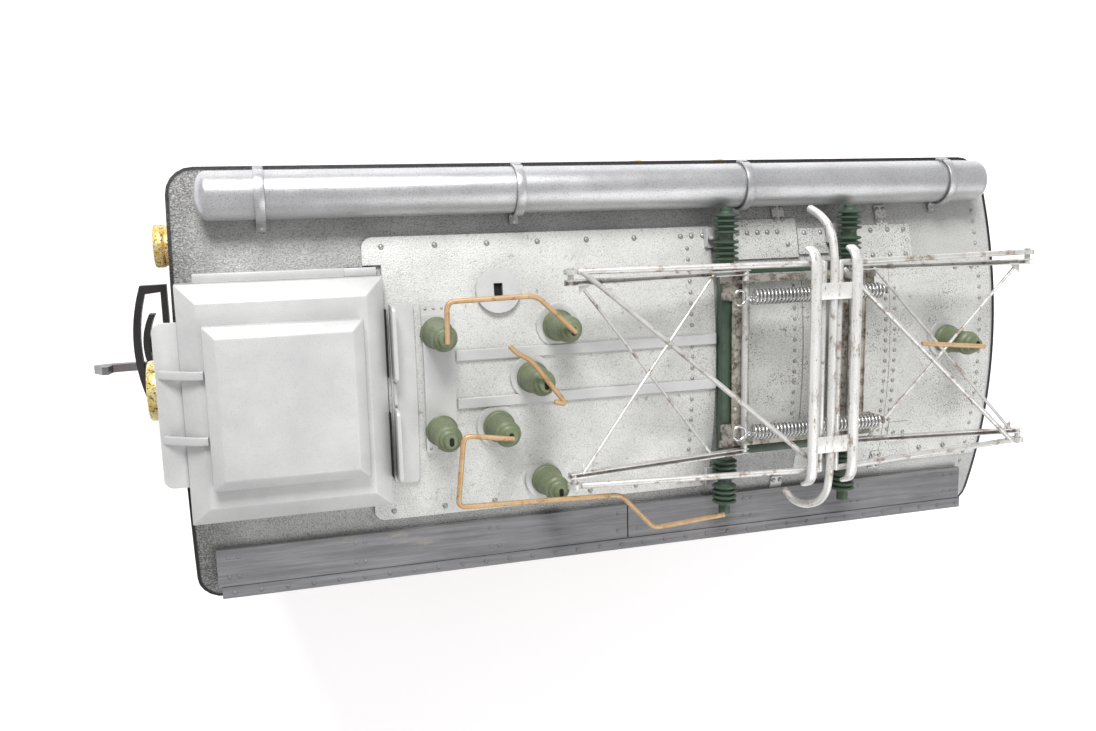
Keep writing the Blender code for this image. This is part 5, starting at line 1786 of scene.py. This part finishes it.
@dataclass
class Cab:
    """The cab's paint, window frames, doors, louvres, lamps and rails."""

    half_width: float = 53.5
    inset: float = 4.0
    window: tuple = (-58.0, -27.0)
    end_sill: float = -56.3
    door: tuple = (148.5, 171.5)
    door_levels: tuple = (-104.0, -19.5)
    belt: float = -66.2
    cornice: float = -22.5
    rim_gap: float = 0.3
    side_windows: tuple = ((14, 36), (44, 66), (104, 126), (196, 218), (152, 168))
    end_windows: tuple = ((-45.0, -21.0, -31.0), (-11.0, 11.0, -42.0), (21.0, 45.0, -31.0))
    lamps: dict = field(
        default_factory=lambda: {
            "top": (-1.7, -25.5, 8.3, 13.2), "left": (35.0, -99.6, 7.3, 15.6),
            "right": (-35.0, -99.6, 7.3, 15.6)})

    def build(self) -> None:
        """Makes everything on the cab."""
        dress(CAB_RED, "cab_shell")
        dress(GLAZING, "window_liner")
        self.frames()
        self.panels()
        self.louvres()
        for end, name in ((-1, "front"), (1, "rear")):
            for spot, (y, z, radius, length) in self.lamps.items():
                side = y if spot != "top" or end < 0 else -y
                self.lamp(f"lamp_{name}_{spot}", end, side, z, radius, length)
        self.rails()

    def frames(self) -> None:
        """A raised rim round every window."""
        made = Shape()
        for side in (-1, 1):
            y = side * (self.half_width + 0.05)
            for low, high in self.side_windows:
                rim = rounded_outline(
                    (station(low) - self.rim_gap, station(high) + self.rim_gap),
                    (level(self.window[0]) - self.rim_gap, level(self.window[1]) + self.rim_gap),
                    2.2, 6)
                made.swept(
                    [(u, y, v) for u, v in rim], flat_section(0.7, 0.35, 0.2, 2), (0, side, 0),
                    True)
        for end in (-1, 1):
            x = end * (ROOF_LENGTH / 2 - self.inset + 0.05)
            for low, high, top in self.end_windows:
                rim = rounded_outline(
                    (low - self.rim_gap, high + self.rim_gap),
                    (level(self.end_sill), level(top) + self.rim_gap), 2.2, 6)
                made.swept(
                    [(x, u, v) for u, v in rim], flat_section(0.7, 0.3, 0.2, 2), (end, 0, 0), True)
        made.placed("window_rims", CAB_TRIM)

    def panels(self) -> None:
        """Door seams and handles, and rows of rivets along the cab's strips."""
        seams, handles = Shape(), Shape()
        studs = Studs("cab_rivets", CAB_RED, 0.4, 0.6)
        for side in (-1, 1):
            y = side * self.half_width
            for x in self.door:
                seams.block(
                    around(station(x), 0.25), sorted((y - side * 0.2, y + side * 0.06)),
                    levels(self.door_levels[0], self.door_levels[1]))
            seams.block(
                stations(self.door[0], self.door[1]), sorted((y - side * 0.2, y + side * 0.06)),
                levels(-19.9, -19.4))
            handles.tube(
                bent(
                    [
                        point(167.8, y + side * 0.2, -72), point(167.8, y + side * 1.6, -72),
                        point(163.6, y + side * 1.6, -72)],
                    0.6, 4),
                0.5, 12)
            for i in range(38):
                x = 11.0 + 6.05 * i
                if not 146.0 < x < 174.0:
                    studs.add(point(x, y, self.belt), (0, side, 0))
                    studs.add(point(x, y, self.cornice), (0, side, 0))
        for end in (-1, 1):
            x = end * (ROOF_LENGTH / 2 - self.inset)
            for i in range(17):
                studs.add((x, -48.0 + 6.0 * i, level(self.belt)), (end, 0, 0))
        seams.placed("door_seams", GAP_BLACK)
        handles.placed("door_handles", RAIL_BRASS)
        studs.build()

    def louvres(self) -> None:
        """A framed louvre panel on each side between the windows."""
        made = Shape()
        for side in (-1, 1):
            y = side * self.half_width
            made.slab(
                rounded_outline(stations(74, 96), levels(-57, -28), 1.0, 4),
                min(y, y + side * 0.3), max(y, y + side * 0.3), "XZ", 0.1)
            for i in range(11):
                z = level(-54.6 + 2.45 * i)
                made.slab(
                    [
                        (y + side * 0.1, z + 1.0), (y + side * 0.58, z - 0.4),
                        (y + side * 0.1, z - 0.55)],
                    *stations(76, 94), "YZ")
        made.placed("side_louvres", CAB_RED)

    def lamp(self, name: str, end: int, y: float, z: float, radius: float, length: float) -> None:
        """One lamp: a hammered gold housing with a rolled rim, and a domed lens.

        Args:
            name: the node it stands for.
            end: -1 at the front and 1 at the rear.
            y: Y of its axis.
            z: level of its axis.
            radius: its rim's radius.
            length: how far it stands out.
        """
        wall = end * (ROOF_LENGTH / 2 - self.inset + 0.3)
        place = (wall, y, level(z))
        outer = [
            (0, 0.0), (radius - 1.4, 0.0), (radius - 0.5, 1.6), (radius - 0.5, length - 3.7),
            (radius - 0.1, length - 3.2), (radius, length - 2.6), (radius, length - 0.8),
            (radius - 0.25, length - 0.2), (radius - 0.7, length), (radius - 1.2, length - 0.15),
            (radius - 1.45, length - 0.8), (radius - 1.5, length - 1.9), (0, length - 2.4)]
        shape = [(r, end * h) for r, h in outer]
        Shape().turned(shape, place, Axis.X, 48).skin(name, LAMP_GOLD, "lamp_brass")
        lens = [(0, length - 2.3), (radius - 1.6, length - 1.8), (radius - 1.55, length - 1.4)]
        lens += [
            ((radius - 1.6) * cos(pi / 2 * i / 6), length - 1.4 + 0.9 * sin(pi / 2 * i / 6))
            for i in range(1, 6)]
        lens += [(0, length - 0.5)]
        Shape().turned([(r, end * h) for r, h in lens], place, Axis.X, 40).placed(
            name + "_lens", LENS, smooth=50)

    def rails(self) -> None:
        """The brass grab rail round each door."""
        for side, name in ((1, "door_rail_left"), (-1, "door_rail_right")):
            wall, out = side * (self.half_width + 0.3), side * 59.0
            low, high = level(self.door_levels[0]), level(-50.0)
            front, back = station(self.door[0] - 3.4), station(self.door[1] + 3.4)
            route = [
                (front, wall, high), (front, out, high), (front, out, low), (back, out, low),
                (back, out, high), (back, wall, high)]
            Shape().tube(bent(route, 2.0, 7), 0.88, 16, (0.3, 1, 0.2)).skin(
                name, RAIL_BRASS, "lamp_brass", MAIN_BODY, ROUND)


# ---------------------------------------------------------------- running gear

@dataclass
class RunningGear:
    """The underframe, beams, couplers, hooks, wheels and drive."""

    wheelbase: float = 110.0
    axle_z: float = 19.0

    def build(self) -> None:
        """Dresses the CAD pieces and adds the small detail round them."""
        dress(
            FRAME_BLACK, "underframe", "motor_block", "buffer_beam_front", "buffer_beam_rear",
            "coupler_front", "coupler_rear")
        dress(HOOK_STEEL, "hook_front", "hook_rear")
        dress(MOTOR_STEEL, "motor_can", "worm_shaft")
        for end, name in ((-1, "front"), (1, "rear")):
            self.wheels(name, end * self.wheelbase / 2)
        self.details()

    def wheels(self, name: str, x: float) -> None:
        """One wheelset: its axle, its turned wheels with spokes, and the toothed wheel.

        Args:
            name: the end's name.
            x: X of its axle.
        """
        made = Shape()
        place = (x, 0, self.axle_z)
        made.turned(pin_profile(2.0, 31.5, 0.3, 0.3), place, Axis.Y, 28)
        profile = [
            (0, 27.3), (3.3, 27.3), (3.6, 27.0), (3.9, 26.3), (11.9, 25.6), (12.4, 25.9),
            (12.8, 26.6), (13.4, 26.8), (15.3, 26.8), (15.6, 26.5), (16.0, 21.9), (16.6, 21.6),
            (18.4, 21.3), (18.9, 20.9), (19.0, 20.6), (18.6, 20.0), (0, 20.0)]
        for side in (-1, 1):
            shape = [(r, side * y) for r, y in profile]
            made.turned(shape, place, Axis.Y, 72)
            for i in range(10):
                a = tau * i / 10
                mid = Vector((cos(a), 0, sin(a)))
                ends = [Vector((x, side * 26.1, self.axle_z)) + mid * r for r in (4.0, 12.3)]
                made.swept(ends, flat_section(0.8, 0.45, 0.25, 2), (0, side, 0))
        outline = []
        for i in range(20):
            for share, radius in ((0.07, 5.7), (0.37, 7.0), (0.62, 7.0), (0.92, 5.7)):
                a = tau * (i + share) / 20
                outline.append((x + radius * cos(a), self.axle_z + radius * sin(a)))
        made.slab(outline, -2.5, 2.5, "XZ", 0.1)
        made.skin(f"wheelset_{name}", WHEEL_STEEL, "wheel_steel", f"wheelset_{name}_body")

    def details(self) -> None:
        """Rivets on the side frames, beams and steps, and bolts on the axle boxes."""
        studs = Studs("frame_bolts", FRAME_BLACK, 0.7, 0.6)
        for side in (-1, 1):
            for x in (-74, -40, -28, -14, 0, 14, 28, 40, 74):
                studs.add((x, side * 36.2, level(-112.6 if abs(x) > 40 else -110.6)), (0, side, 0))
            for axle in (-self.wheelbase / 2, self.wheelbase / 2):
                for u in (-4.2, 4.2):
                    for z in (-126.6, -118.6):
                        studs.add((axle + u, side * 41.0, level(z)), (0, side, 0))
        for end in (-1, 1):
            for y in (-44, -22, -17, 17, 22, 44):
                studs.add((end * (ROOF_LENGTH / 2 + 0.6), y, level(-113.5)), (end, 0, 0))
        studs.build()


# ---------------------------------------------------------------- studio

@dataclass
class Studio:
    """The camera, the pale floor and the soft lights."""

    eye: tuple = (21.784, 47.718, 261.468)
    ahead: tuple = (0.27277097, -0.16567403, -0.94770676)
    up: tuple = (0.06793836, 0.98591914, -0.15279999)
    lens: float = 32.52
    sensor: float = 36.0
    floor_half: float = 3.0
    aim: tuple = (0, 0, 0.12)
    lights: tuple = (
        ("key", (-0.2, 0.85, 0.8), 0.4, 12.0), ("fill", (0.5, -0.7, 0.9), 1.0, 6.5),
        ("front", (-1.0, -0.1, 0.55), 0.8, 0.6))
    sky: float = 0.45
    floor_glow: float = 0.3

    def build(self) -> None:
        """Sets up the picture."""
        data = bpy.data.cameras.new("view")
        data.lens, data.sensor_width, data.clip_start = self.lens, self.sensor, 0.01
        camera = bpy.data.objects.new("view", data)
        bpy.context.scene.collection.objects.link(camera)
        back = -Vector(self.ahead).normalized()
        right = Vector(self.up).cross(back).normalized()
        lift = back.cross(right)
        turn = Matrix((right, lift, back)).transposed().to_4x4()
        eye = Vector(point(self.eye[0], self.eye[1], self.eye[2])) * MM
        camera.matrix_world = Matrix.Translation(eye) @ turn
        bpy.context.scene.camera = camera
        self.floor()
        for light in self.lights:
            self.light(*light)
        world = bpy.data.worlds.new("studio")
        world.use_nodes = True
        sky = world.node_tree.nodes["Background"].inputs
        sky["Color"].default_value, sky["Strength"].default_value = WHITE, self.sky
        bpy.context.scene.world = world
        bpy.context.scene.view_settings.view_transform = "Standard"

    def floor(self) -> None:
        """A pale floor under the wheels."""
        mesh = bpy.data.meshes.new("floor")
        half = self.floor_half
        mesh.from_pydata(
            [(-half, -half, 0), (half, -half, 0), (half, half, 0), (-half, half, 0)], [],
            [(0, 1, 2, 3)])
        board = NodeBoard("floor_white")
        board.join(
            board.mixed(board.noise(60.0), (0.93, 0.93, 0.94), (0.96, 0.96, 0.965)),
            board.shader.inputs["Base Color"])
        board.fix(roughness=0.6, emission_color=WHITE, emission_strength=self.floor_glow)
        mesh.materials.append(board.material)
        floor = bpy.data.objects.new("floor", mesh)
        bpy.context.scene.collection.objects.link(floor)

    def light(self, name: str, at: Point, size: float, power: float) -> None:
        """One square soft light that looks at the roof.

        Args:
            name: its name.
            at: its place in metres.
            size: its side in metres.
            power: its power in watts.
        """
        data = bpy.data.lights.new(name, "AREA")
        data.size, data.energy = size, power
        lamp = bpy.data.objects.new(name, data)
        bpy.context.scene.collection.objects.link(lamp)
        aim = (Vector(self.aim) - Vector(at)).to_track_quat("-Z", "Y").to_matrix().to_4x4()
        lamp.matrix_world = Matrix.Translation(Vector(at)) @ aim


def main() -> None:
    """Builds the locomotive's looks in order."""
    logging.basicConfig(level=logging.INFO, format="%(name)s: %(message)s")
    Studio().build()
    for part in (
            Roof(), Hatch(), RoofFittings(), Insulators(), InsulatorFrame(), Pantograph(), Cab(),
            RunningGear()):
        LOG.info("building %s", type(part).__name__)
        part.build()


if __name__ == "__main__":
    main()
